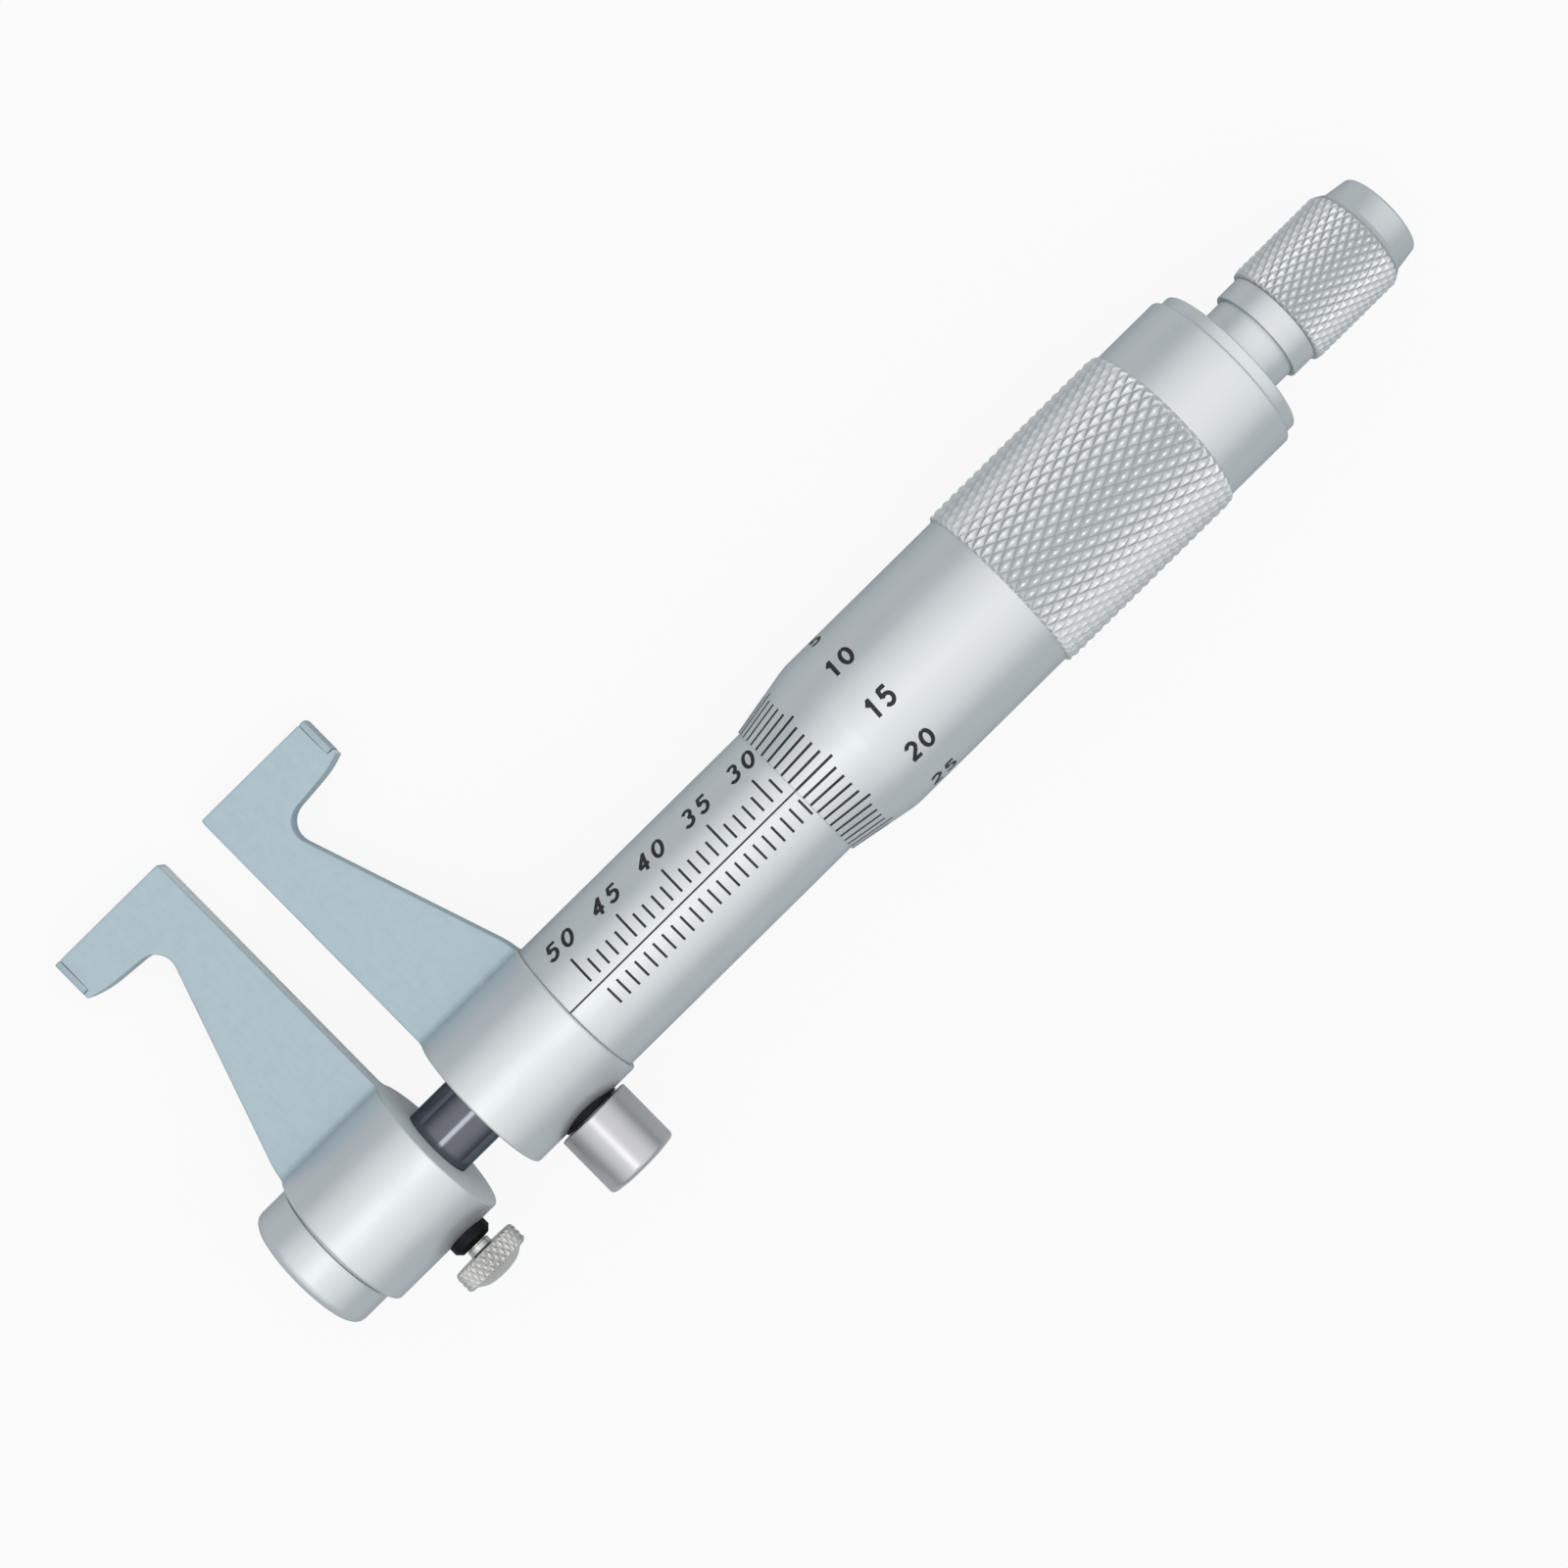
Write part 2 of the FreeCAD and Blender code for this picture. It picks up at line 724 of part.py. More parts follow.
def main():
    pieces = {
        "fixed_jaw": fixed_jaw(),
        "fixed_jaw_tip": on_fixed_side(measuring_pad()),
        "barrel": barrel(),
        "guide_key": guide_key(),
        "graduated_sleeve": sleeve(),
        "adjusting_nut": adjusting_nut(),
        "lock_bush": lock_bush(),
        "lock_plug": lock_plug(),
        "lock_knob": lock_knob(),
        "moving_jaw": moving_jaw(),
        "moving_jaw_tip": on_moving_side(measuring_pad()),
        "spindle": spindle(),
        "end_cap": end_cap(),
        "thrust_disc": thrust_disc(),
        "retaining_nut": retaining_nut(),
        "clamp_bush": clamp_bush(),
        "clamp_plug": clamp_plug(),
        "clamp_screw": clamp_screw(),
        "thimble": thimble(),
        "measuring_screw": measuring_screw(),
        "ratchet_body": ratchet_body(),
        "ratchet_pawl": ratchet_pawl(),
        "ratchet_spring": ratchet_spring(),
        "stop_screw": stop_screw(),
        "ratchet_collar": ratchet_collar(),
        "ratchet_knob": ratchet_knob(),
    }
    # At rest the instrument lies on its grip band and jaw tips. The frame's origin is
    # the middle of its footprint, with the axis still along X.
    roll = Placement(origin, Rotation(axis, -resting_roll()))
    for name in pieces:
        pieces[name] = pieces[name].transformed(roll.toMatrix(), True)
    extent = Part.makeCompound(list(pieces.values())).optimalBoundingBox(False, False)
    shift = Vector(-extent.Center.x, -extent.Center.y, -extent.ZMin)
    os.makedirs("parts", exist_ok=True)
    for name, shape in pieces.items():
        shape.translate(shift)
        shape.exportStep("parts/" + name + ".step")
        print(name, shape.isValid(), len(shape.Solids), round(shape.Volume, 3))
    print("roll in degrees", resting_roll())
    print("axis passes through", tuple(shift))
    print("extent", extent.XLength, extent.YLength, extent.ZLength)


main()
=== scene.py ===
# %% [markdown]
# # Dressing an inside micrometer
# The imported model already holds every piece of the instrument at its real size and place. This
# lesson gives each piece the surface that a maker would give it: rounded edges, knurled bands,
# engraved scales and turned or ground metal. First the model is loaded. It is the fixed frame
# that everything below is measured from.
# %% Load the frame
import json
import math

import bmesh
import bpy
import numpy as np
from mathutils import Matrix, Vector


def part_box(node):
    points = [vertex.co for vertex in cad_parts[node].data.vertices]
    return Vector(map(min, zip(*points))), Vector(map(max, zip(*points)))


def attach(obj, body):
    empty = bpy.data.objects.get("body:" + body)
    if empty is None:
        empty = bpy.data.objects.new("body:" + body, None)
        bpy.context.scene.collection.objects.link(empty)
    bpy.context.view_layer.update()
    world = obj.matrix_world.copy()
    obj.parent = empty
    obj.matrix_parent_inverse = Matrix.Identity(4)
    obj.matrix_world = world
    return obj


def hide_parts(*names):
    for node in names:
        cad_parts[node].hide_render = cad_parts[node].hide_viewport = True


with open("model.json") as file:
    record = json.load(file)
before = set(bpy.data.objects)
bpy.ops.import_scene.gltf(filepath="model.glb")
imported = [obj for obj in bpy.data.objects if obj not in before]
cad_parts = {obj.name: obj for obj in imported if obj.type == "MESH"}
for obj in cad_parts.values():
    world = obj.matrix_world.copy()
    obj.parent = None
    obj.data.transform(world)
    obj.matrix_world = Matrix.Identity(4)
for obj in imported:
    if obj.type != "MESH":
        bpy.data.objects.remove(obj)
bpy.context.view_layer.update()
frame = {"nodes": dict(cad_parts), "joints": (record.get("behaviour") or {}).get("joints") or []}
print("nodes in the frame:", len(frame["nodes"]))

# %% [markdown]
# ## A working frame of its own
# The instrument lies rolled about its axis, on its grip band and its jaw tips. Shapes are easier
# to say beside the instrument than beside the table, so they are worked out in millimetres with
# x along the axis from the fixed hub's inner face, y towards the jaw tips and z out of the front.
# The joints of the frame give the axis and both directions, so nothing has to be fitted by eye.
# %% Working frame
mm = 0.001
hub_length = 10.8
joints = {joint["name"]: joint for joint in frame["joints"]}
along = np.array([1.0, 0.0, 0.0])
jaw_way = -np.array(joints["lock_turn"]["axis"])
front_way = np.cross(along, jaw_way)
axis_point = np.array(joints["thimble_turn"]["pos_m"])
zero = np.array([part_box("fixed_jaw")[0].x + hub_length * mm, axis_point[1], axis_point[2]])


def settle(points):
    """Working millimetres to the frame's metres: zero + x along + y jaw_way + z front_way."""
    return zero + points @ np.array([along, jaw_way, front_way]) * mm


def limits(node):
    """Lowest and highest x of a node, in working millimetres."""
    low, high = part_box(node)
    return (low.x - zero[0]) / mm, (high.x - zero[0]) / mm


print("axis through", zero.round(5), "front of the jaws", front_way.round(4))

# %% [markdown]
# ## Shader arithmetic
# A finish is a small graph of nodes. Written as boxes and links it is hard to follow, so a socket
# is wrapped in a class that knows arithmetic: `1 - mask * 0.2` then adds the Math nodes by itself.
# Any other node comes from one method that takes its type, its settings and its inputs.
# %% Sockets that know arithmetic
class Wire:
    """An output socket. Arithmetic on it adds a Math node and gives that node's output."""

    def __init__(self, finish, socket):
        self.finish = finish
        self.socket = socket

    def math(self, operation, first, second):
        settings = {"operation": operation}
        return self.finish.node("ShaderNodeMath", settings, {0: first, 1: second})

    def __add__(self, other):
        return self.math("ADD", self, other)

    def __radd__(self, other):
        return self.math("ADD", other, self)

    def __sub__(self, other):
        return self.math("SUBTRACT", self, other)

    def __rsub__(self, other):
        return self.math("SUBTRACT", other, self)

    def __mul__(self, other):
        return self.math("MULTIPLY", self, other)

    def __rmul__(self, other):
        return self.math("MULTIPLY", other, self)

    def __pow__(self, other):
        return self.math("POWER", self, other)


class Finish:
    """One material: a Principled surface, and the nodes that feed it."""

    def __init__(self, name, metallic, color, roughness):
        self.material = bpy.data.materials.new(name)
        self.material.use_nodes = True
        self.tree = self.material.node_tree
        self.surface = self.tree.nodes["Principled BSDF"]
        self.surface.inputs["Metallic"].default_value = metallic
        self.surface.inputs["Base Color"].default_value = (*color, 1)
        self.surface.inputs["Roughness"].default_value = roughness

    def feed(self, socket, value):
        """Link a wire to a socket, or set the socket to a plain value."""
        if isinstance(value, Wire):
            self.tree.links.new(value.socket, socket)
        else:
            socket.default_value = value

    def node(self, kind, settings=None, inputs=None, output=0):
        """Add a node: its settings first, then its sockets; `stops` sets a ramp's colours."""
        node = self.tree.nodes.new(kind)
        for key, value in (settings or {}).items():
            if key == "stops":
                set_stops(node.color_ramp, value)
            else:
                setattr(node, key, value)
        for key, value in (inputs or {}).items():
            self.feed(node.inputs[key], value)
        return Wire(self, node.outputs[output])

    def shade(self, **inputs):
        """Feed the surface's sockets; an underscore in a name stands for a space."""
        for key, value in inputs.items():
            self.feed(self.surface.inputs[key.replace("_", " ")], value)


def set_stops(ramp, stops):
    """Give a colour ramp its (position, colour) stops."""
    while len(ramp.elements) < len(stops):
        ramp.elements.new(1.0)
    for element, (position, color) in zip(ramp.elements, stops):
        element.position = position
        element.color = (*color, 1)


# %% [markdown]
# ## Marks of the tool
# A lathe leaves fine rings round the axis that it turned about, and a grinding wheel leaves fine
# parallel lines. Both are noise stretched a thousandfold: noise read at the place along the axis
# and the distance from it gives rings on the barrel and on the end faces alike. Painted streaks
# would follow only one of the two.
# %% Coordinates that follow the tool
def place_on(finish):
    """Where a point of the surface is, in metres: the object's own coordinates."""
    return finish.node("ShaderNodeTexCoord", output="Object")


def turning_place(finish, point, way):
    """Millimetres along and from the turned axis: t = (p - point)·way, r² = |p - point|² - t²."""
    settings = {"operation": "SUBTRACT"}
    off = finish.node("ShaderNodeVectorMath", settings, {0: place_on(finish), 1: tuple(point)})
    settings = {"operation": "DOT_PRODUCT"}
    run = finish.node("ShaderNodeVectorMath", settings, {0: off, 1: tuple(way)}, "Value")
    length = finish.node("ShaderNodeVectorMath", {"operation": "LENGTH"}, {0: off}, "Value")
    return run * (1 / mm), (length * length - run * run) ** 0.5 * (1 / mm)


def noise(finish, place, scale, detail=3.0, roughness=0.55):
    """Noise from 0 to 1 at a place, with `scale` blobs in each unit of it."""
    inputs = {"Vector": place, "Scale": scale, "Detail": detail, "Roughness": roughness}
    return finish.node("ShaderNodeTexNoise", inputs=inputs)


def blend(finish, share, first, second):
    """Mix two colours, or wires of colour, by a share from 0 to 1."""
    inputs = {"Factor": share}
    node = finish.node("ShaderNodeMix", {"data_type": "RGBA"}, inputs, 2)
    tree_node = node.socket.node
    finish.feed(tree_node.inputs[6], first)
    finish.feed(tree_node.inputs[7], second)
    return node


def dent(finish, height, depth):
    """Normal of a surface raised by a height from 0 to 1, `depth` in metres."""
    inputs = {"Height": height, "Distance": depth, "Strength": 1.0}
    return finish.node("ShaderNodeBump", inputs=inputs)


# %% [markdown]
# ## Turned metals
# Satin chrome, plain steel, blackened steel and brass differ in colour and in how far the tool's
# rings still show, so one recipe makes them all. The rings tilt the surface a little, a wider
# noise makes the polish uneven, and handling leaves soft lighter patches.
# %% Turned finishes
def shades(color, spread):
    """A darker and a lighter version of a colour, for the two ends of a blend."""
    dark = tuple(part * (1 - spread) for part in color)
    light = tuple(min(1.0, part * (1 + spread)) for part in color)
    return (*dark, 1), (*light, 1)


def turned_metal(name, color, roughness, rings, spread=0.06, point=zero, way=along, metallic=1.0,
                 tips=None, tint=(1, 1, 1)):
    """Metal turned about an axis; `rings` is the height of the tool's rings in metres.

    With `tips`, the radii of a knurl's grooves and tips, painted shade darkens the colour into the
    grooves.
    """
    finish = Finish(name, metallic, color, roughness)
    finish.surface.inputs["Specular Tint"].default_value = (*tint, 1)
    run, reach = turning_place(finish, point, way)
    inputs = {"X": run, "Y": reach}
    ring_place = finish.node("ShaderNodeCombineXYZ", inputs=inputs)
    fine = noise(finish, ring_place, 9.0, 4.0, 0.7)
    broad = noise(finish, ring_place, 1.3, 2.0)
    patches = noise(finish, place_on(finish), 0.25 / mm, 4.0, 0.6)
    tone = blend(finish, patches * 0.6 + broad * 0.4, *shades(color, spread))
    # Painted shade: the colour darkens from the knurl's tips down into its grooves.
    if tips:
        raised = (reach - tips[0]) * (1 / (tips[1] - tips[0]))
        tone = blend(finish, raised, shades(color, 0.34)[0], tone)
    finish.shade(
        Base_Color=tone,
        Roughness=roughness * (0.8 + patches * 0.3 + fine * 0.1),
        Normal=dent(finish, fine, rings),
    )
    return finish.material


lock_point = settle(np.array([limits("lock_bush")[0] / 2 + limits("lock_bush")[1] / 2, 0.0, 0.0]))
clamp_centre = (limits("clamp_bush")[0] + limits("clamp_bush")[1]) / 2
clamp_point = settle(np.array([clamp_centre, 0.0, 0.0]))
knob_way = -jaw_way
across_lock = {"point": lock_point, "way": knob_way}
across_clamp = {"point": clamp_point, "way": knob_way}

edge_tint = (0.42, 0.5, 0.56)
satin = {"metallic": 0.85, "tint": edge_tint}
chrome = turned_metal("satin_chrome_turned", (0.76, 0.79, 0.805), 0.45, 0.5e-6, 0.03, **satin)
grip_chrome = turned_metal(
    "satin_chrome_grip", (0.89, 0.915, 0.925), 0.38, 0.3e-6, 0.03, tips=(7.74, 8.04), **satin)
knob_chrome = turned_metal(
    "satin_chrome_knob", (0.87, 0.895, 0.90), 0.38, 0.3e-6, 0.03, tips=(4.58, 4.8), **satin)
# Painted light: a paler, nearly matt copy of the chrome, for end faces that sit in shade.
painted_light_end_chrome = turned_metal("end_chrome_painted_light", (0.80, 0.84, 0.86), 0.6, 0.5e-6, 0.03, metallic=0.1)
# Painted shade: the spindle's colour is far darker than bright steel, so that the dark surroundings
# the polished rod mirrors show in it.
shade_darkened_spindle_steel = turned_metal(
    "spindle_dark_painted_shade", (0.15, 0.16, 0.18), 0.15, 0.1e-6, 0.08, tint=edge_tint)
inner = turned_metal("plain_turned_steel", (0.42, 0.43, 0.45), 0.38, 1.6e-6)
spring = turned_metal("spring_steel", (0.32, 0.32, 0.34), 0.3, 0.6e-6)
knob_steel = turned_metal("lock_knob_satin", (0.60, 0.60, 0.61), 0.34, 1.0e-6, 0.05, **across_lock)
clamp_steel = turned_metal(
    "clamp_screw_steel", (0.66, 0.65, 0.63), 0.26, 0.6e-6, 0.06, **across_clamp)
clamp_grip = turned_metal(
    "clamp_screw_grip", (0.80, 0.79, 0.77), 0.3, 0.4e-6, 0.05, tips=(2.87, 3.06), **across_clamp)
brass = turned_metal("turned_brass", (0.62, 0.45, 0.18), 0.3, 1.2e-6, 0.1, **across_lock)
black_steel = turned_metal(
    "blackened_steel", (0.012, 0.013, 0.016), 0.4, 0.8e-6, 0.3, metallic=0.5,
    tint=(0.3, 0.3, 0.3), **across_lock)

# %% [markdown]
# ## Ground jaws
# The jaws are ground flat and then dulled, so that they don't glare beside the scale. The finish
# is a pale matt grey with a slight blue, faintly mottled, with grinding lines along the jaw's
# length. Its lines run towards the tip, so noise is stretched that way with a Mapping node.
# %% Matt jaw steel, hard metal and engraving ink
def jaw_place(finish, squeeze):
    """Object coordinates in millimetres, squeezed along the jaw's length by a factor."""
    x, y, z = [
        finish.node("ShaderNodeVectorMath", {"operation": "DOT_PRODUCT"},
                    {0: place_on(finish), 1: tuple(way / mm)}, "Value")
        for way in (along, jaw_way, front_way)
    ]
    return finish.node("ShaderNodeCombineXYZ", inputs={"X": x, "Y": y * squeeze, "Z": z})


def ground_metal(name, color, roughness, depth, spread, metallic):
    """Ground metal: mottled colour, lines along the jaw and an even matt grain."""
    finish = Finish(name, metallic, color, roughness)
    mottle = noise(finish, jaw_place(finish, 1.0), 0.8, 5.0, 0.65)
    lines = noise(finish, jaw_place(finish, 0.06), 7.0, 3.0, 0.6)
    grain = noise(finish, jaw_place(finish, 1.0), 6.0, 2.0, 0.5)
    finish.shade(
        Base_Color=blend(finish, mottle * 0.7 + lines * 0.3, *shades(color, spread)),
        Roughness=roughness * (0.85 + mottle * 0.3),
        Normal=dent(finish, lines * 0.5 + grain * 0.5, depth),
    )
    return finish.material


jaw_steel = ground_metal("matt_jaw_steel", (0.475, 0.585, 0.635), 0.55, 5.0e-6, 0.16, 0.4)
carbide = ground_metal("ground_hard_metal", (0.42, 0.51, 0.55), 0.42, 1.0e-6, 0.08, 0.5)


def engraving_ink(name, color):
    """Black wax in an engraved line: dull, a little uneven, and not a metal."""
    finish = Finish(name, 0.0, color, 0.55)
    grain = noise(finish, place_on(finish), 4 / mm, 3.0)
    finish.shade(Base_Color=blend(finish, grain, *shades(color, 0.4)), Roughness=0.4 + grain * 0.3)
    return finish.material


ink = engraving_ink("engraving_ink", (0.012, 0.013, 0.016))
print("finishes:", len(bpy.data.materials))

# %% [markdown]
# ## Putting a mesh in the scene
# Every piece below ends the same way: its points are settled into the frame, its normals are
# turned outwards, flat and round stretches are told apart by angle, and the piece is tied to the
# body that it moves with. One function does that, so each piece only has to say its shape.
# %% From points to a finished piece
def make(name, points, faces, material):
    """A mesh object from working points and lists of face corners, with its normals outwards."""
    mesh = bpy.data.meshes.new(name)
    mesh.from_pydata(settle(points), [], faces)
    mesh.materials.append(material)
    smooth_outwards(mesh)
    item = bpy.data.objects.new(name, mesh)
    bpy.context.scene.collection.objects.link(item)
    return item


def smooth_outwards(mesh, crease=32):
    """Turn all normals outwards, shade smoothly and keep edges sharper than `crease` degrees."""
    shape = bmesh.new()
    shape.from_mesh(mesh)
    bmesh.ops.recalc_face_normals(shape, faces=shape.faces)
    shape.to_mesh(mesh)
    shape.free()
    mesh.shade_smooth()
    mesh.set_sharp_from_angle(angle=math.radians(crease))


def face_centres(item):
    """The working x, y and z of every face's centre, as three arrays."""
    centre = np.zeros(len(item.data.polygons) * 3)
    item.data.polygons.foreach_get("center", centre)
    off = (centre.reshape(-1, 3) - zero) / mm
    return off @ along, off @ jaw_way, off @ front_way


def paint(item, chosen, material, second=0):
    """Give the chosen faces one more material, and those in `second` the piece's second one."""
    item.data.materials.append(material)
    last = len(item.data.materials) - 1
    index = np.where(chosen, last, second).astype(np.int32)
    item.data.polygons.foreach_set("material_index", index)


def fit(item, body, slot, *nodes):
    """Tie a piece to its body and hide what it replaces; `slot` is not used."""
    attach(item, body)
    if nodes:
        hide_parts(*nodes)
    print(item.name, len(item.data.vertices), "points on", body)
    return item


def combine(base, tool, operation):
    """Exact union or difference of two closed pieces; the second one is used up."""
    step = base.modifiers.new("combine", "BOOLEAN")
    step.operation = operation
    step.solver = "EXACT"
    step.object = tool
    scene_state = bpy.context.evaluated_depsgraph_get()
    mesh = bpy.data.meshes.new_from_object(base.evaluated_get(scene_state))
    base.modifiers.clear()
    base.data = mesh
    bpy.data.objects.remove(tool)
    smooth_outwards(mesh)
    return base


# %% [markdown]
# ## Outlines with rounded corners
# No machined edge is perfectly sharp, and the thin light line along a real edge comes from its
# small rounding. So every outline is given as corners with a radius each. A bevel modifier could
# round the finished mesh, but here the radius belongs to the corner, as on a drawing. A support
# point beside each arc keeps the flats flat when they are shaded smoothly.
# %% Rounded outlines
def unit(vectors):
    """Vectors over their own length."""
    return vectors / np.maximum(np.linalg.norm(vectors, axis=-1, keepdims=True), 1e-12)


def rounded(corners, steps=4, support=0.05):
    """Closed outline through (a, b, radius) corners, each corner an arc tangent to both sides.

    With half the corner's angle h, the arc starts radius / tan h from the corner and its centre
    is radius / sin h away on the bisector. The arc's points turn evenly from its first point to
    its last: (sin((1 - t)w) first + sin(tw) last) / sin w, where w = 180° - 2h.
    """
    corner = np.array([c[:2] for c in corners], float)
    radius = np.array([c[2] for c in corners], float)[:, None]
    back, ahead = unit(np.roll(corner, 1, 0) - corner), unit(np.roll(corner, -1, 0) - corner)
    half = np.arccos(np.clip((back * ahead).sum(1), -0.9999, 0.9999))[:, None] / 2
    reach = radius / np.tan(half)
    centre = corner + unit(back + ahead) * radius / np.sin(half)
    first, last = corner + back * reach, corner + ahead * reach
    turn = (np.pi - 2 * half)[:, :, None]
    t = np.linspace(0, 1, steps + 1)[None, :, None]
    from_first = np.sin((1 - t) * turn) * (first - centre)[:, None]
    from_last = np.sin(t * turn) * (last - centre)[:, None]
    arc = centre[:, None] + (from_first + from_last) / np.sin(turn)
    aside = support * (radius > 0)
    before, after = first + back * aside, last + ahead * aside
    points = np.concatenate([before[:, None], arc, after[:, None]], 1).reshape(-1, 2)
    apart = np.linalg.norm(points - np.roll(points, 1, 0), axis=1) > 1e-5
    return points[apart]


# %% [markdown]
# ## Turned pieces
# Most of the instrument is turned, so its pieces are an outline of distance along the axis and
# distance from it, carried once round. A Screw modifier would do it too. Working out the rings as
# one array leaves room for what a modifier can't do: a relief that cuts knurling into the rings.
# %% Turning an outline
fine_turn = 192


def ring_faces(rows, columns, closed):
    """Quads between neighbouring rings; `closed` joins the last ring to the first."""
    row = np.arange(rows if closed else rows - 1)[:, None]
    column = np.arange(columns)[None, :]
    here, above = row * columns, (row + 1) % rows * columns
    beside = (column + 1) % columns
    return np.stack([here + column, here + beside, above + beside, above + column], -1)


def turned(outline, segments=fine_turn, relief=None):
    """Outline (x, r) turned about the axis: ring angle a puts it at (x, r sin a, r cos a).

    An outline that starts and ends on the axis loses those points and gets flat ends instead.
    """
    on_axis = outline[:, 1] < 1e-6
    outline = outline[~on_axis]
    angle = np.arange(segments)[None, :] * 2 * np.pi / segments
    x, r = outline[:, :1], outline[:, 1:]
    quads = ring_faces(len(outline), segments, not on_axis.any())
    faces = []
    if relief:
        r, cut, rising = (part[:len(quads)] if part.dtype == bool else part
                          for part in relief(x, r, angle))
        cut = np.broadcast_to(cut, quads.shape[:2])
        faces = halves(quads[cut], rising[cut])
        quads = quads[~cut]
    faces = quads.reshape(-1, 4).tolist() + faces
    points = np.stack([x + 0 * angle, r * np.sin(angle), r * np.cos(angle)], -1).reshape(-1, 3)
    if on_axis.any():
        faces += [list(range(segments)), list(range(len(points) - segments, len(points)))]
    return points, faces


def halves(quads, rising):
    """Two triangles for each quad, cut along the diagonal that its groove follows."""
    a, b, c, d = quads.T
    one = np.where(rising, [a, b, c], [a, b, d]).T
    two = np.where(rising, [a, c, d], [b, c, d]).T
    return one.tolist() + two.tolist()


def toward_knob(points, place):
    """Turn points made along x so that they point from the axis to the knobs' side, at a place."""
    return np.stack([place + points[:, 1], -points[:, 0], points[:, 2]], -1)


# %% [markdown]
# ## Knurling
# A knurl is rolled in by two wheels whose grooves cross, which leaves rows of small pyramids. On
# the unrolled band a groove lies wherever u + v or u - v is a whole number, with u counted along
# the axis and v round it. A bump map would give the glitter but not the toothed outline, so the
# rings are really cut. Each quad is split along the groove that crosses it, or every second
# groove would look torn.
# %% Crossed grooves
def knurl(start, end, radius, slopes, period, around, depth, crest=0.14):
    """Relief for `turned` on the band at `radius` between start and end.

    A point's height is its lesser distance to a groove, 1 - |2 frac(u ± v) - 1|, cut off at
    1 - crest for worn tips, and r is radius - depth × (1 - height). The slopes, (drop, gradient)
    at each end of the band, cut off the last pyramids.
    """
    (drop, gradient), (end_drop, end_gradient) = slopes

    def relief(x, r, angle):
        u, v = (x - start) / period, angle * around / (2 * np.pi)
        band = (x > start - 1e-4) & (x < end + 1e-4) & (r > radius - 1e-3)
        near = np.minimum(*[1 - np.abs(2 * np.mod(s, 1) - 1) for s in (u + v, u - v)])
        height = np.minimum(near, 1 - crest) / (1 - crest)
        lowered = radius - depth * (1 - height)
        lowered = np.minimum(lowered, radius - drop + gradient * (x - start))
        lowered = np.minimum(lowered, radius - end_drop + end_gradient * (end - x))
        middle_u, middle_v = (u + np.roll(u, -1, 0)) / 2, v + v[:, 1:2] / 2
        off = [np.abs(np.mod(s + 0.5, 1) - 0.5) for s in (middle_u + middle_v, middle_u - middle_v)]
        return np.where(band, lowered, r + 0 * angle), band & np.roll(band, -1, 0), off[1] < off[0]
    return relief


def band_rows(start, end, radius, step):
    """Corners along a straight band, one every step, for the knurl's rings."""
    return [(x, radius, 0) for x in np.append(np.arange(start, end - step / 2, step), end)]


# %% [markdown]
# ## The jaws
# Each jaw is a round hub with a flat plate standing on it. The plate narrows from the hub to a
# waist and then turns out into the tip. It could be an extruded outline with a bevel, but its foot
# flares into the hub with a small fillet, which an extrusion can't follow. So the plate is a stack
# of rings: each ring is a rounded rectangle from the plate's outer edge to its inner edge, and its
# thickness follows the flare. A union then joins it to the turned hub.
# %% Hub, plate and pad sizes
hub_radius = 6.79
tip_stand = 0.85
jaw_reach = 31.65
jaw_half = 1.5
edge_round = 0.14
web_fillet = 0.7
back_round = 0.35
pad_height = 3.25
pad_depth = 0.65
crown_radius = 11.0
plate_foot = 5.5
hub_margin = 0.02
plate_edge = [
    (pad_depth, jaw_reach, 0),
    (pad_depth, jaw_reach - pad_height + 0.02, 0),
    (0.1, jaw_reach - pad_height - 0.02, 0),
    (0.1, 27.93, 0),
    (1.5, 27.44, 9.0),
    (7.61, 26.93, 1.8),
    (tip_stand + hub_margin, 7.07, 8.0),
    (tip_stand + hub_margin, plate_foot, 0),
]
plate_back = tip_stand + hub_length - hub_margin


# %% The plate as a stack of rings
def flare(y):
    """Half the plate's thickness at a height y: a fillet of radius f from the flat to the hub.

    The fillet's centre stands f off the flat and hub radius + f off the axis, less a hair so that
    it cuts into the hub. Below the centre, half = flat + f - sqrt(f² - (centre - y)²).
    """
    stand = hub_radius + web_fillet - 0.03
    centre = math.sqrt(stand ** 2 - (jaw_half + web_fillet) ** 2)
    foot = centre * hub_radius / stand
    below = np.clip(centre - y, 0, centre - foot)
    return jaw_half + web_fillet - np.sqrt(web_fillet ** 2 - below ** 2)


def plate_rows():
    """Rows of the plate from foot to tip: outer edge x, inner edge x and height y of each."""
    edge = rounded(plate_edge + [(plate_back, plate_foot, 0), (plate_back, jaw_reach, 0)], 8, 0)
    edge = edge[edge[:, 0] < plate_back - 0.5]
    edge = edge[np.argsort(edge[:, 1])]
    top = jaw_reach - edge_round
    extra = [np.linspace(6.3, 7.3, 22), top - np.linspace(0, back_round, 7), np.arange(8, 27, 1.5)]
    y = np.unique(np.concatenate([edge[:, 1], *extra]).round(4))
    y = y[y <= top]
    outer = np.interp(y, edge[:, 1], edge[:, 0])
    corner = np.clip(y - (jaw_reach - back_round), 0, back_round)
    inner = plate_back - back_round + np.sqrt(back_round ** 2 - corner ** 2)
    return outer, inner, y


def quarter(start_angle, end_angle, steps=4):
    """Evenly spaced angles from one direction to the next, in radians."""
    return np.radians(np.linspace(start_angle, end_angle, steps + 1))


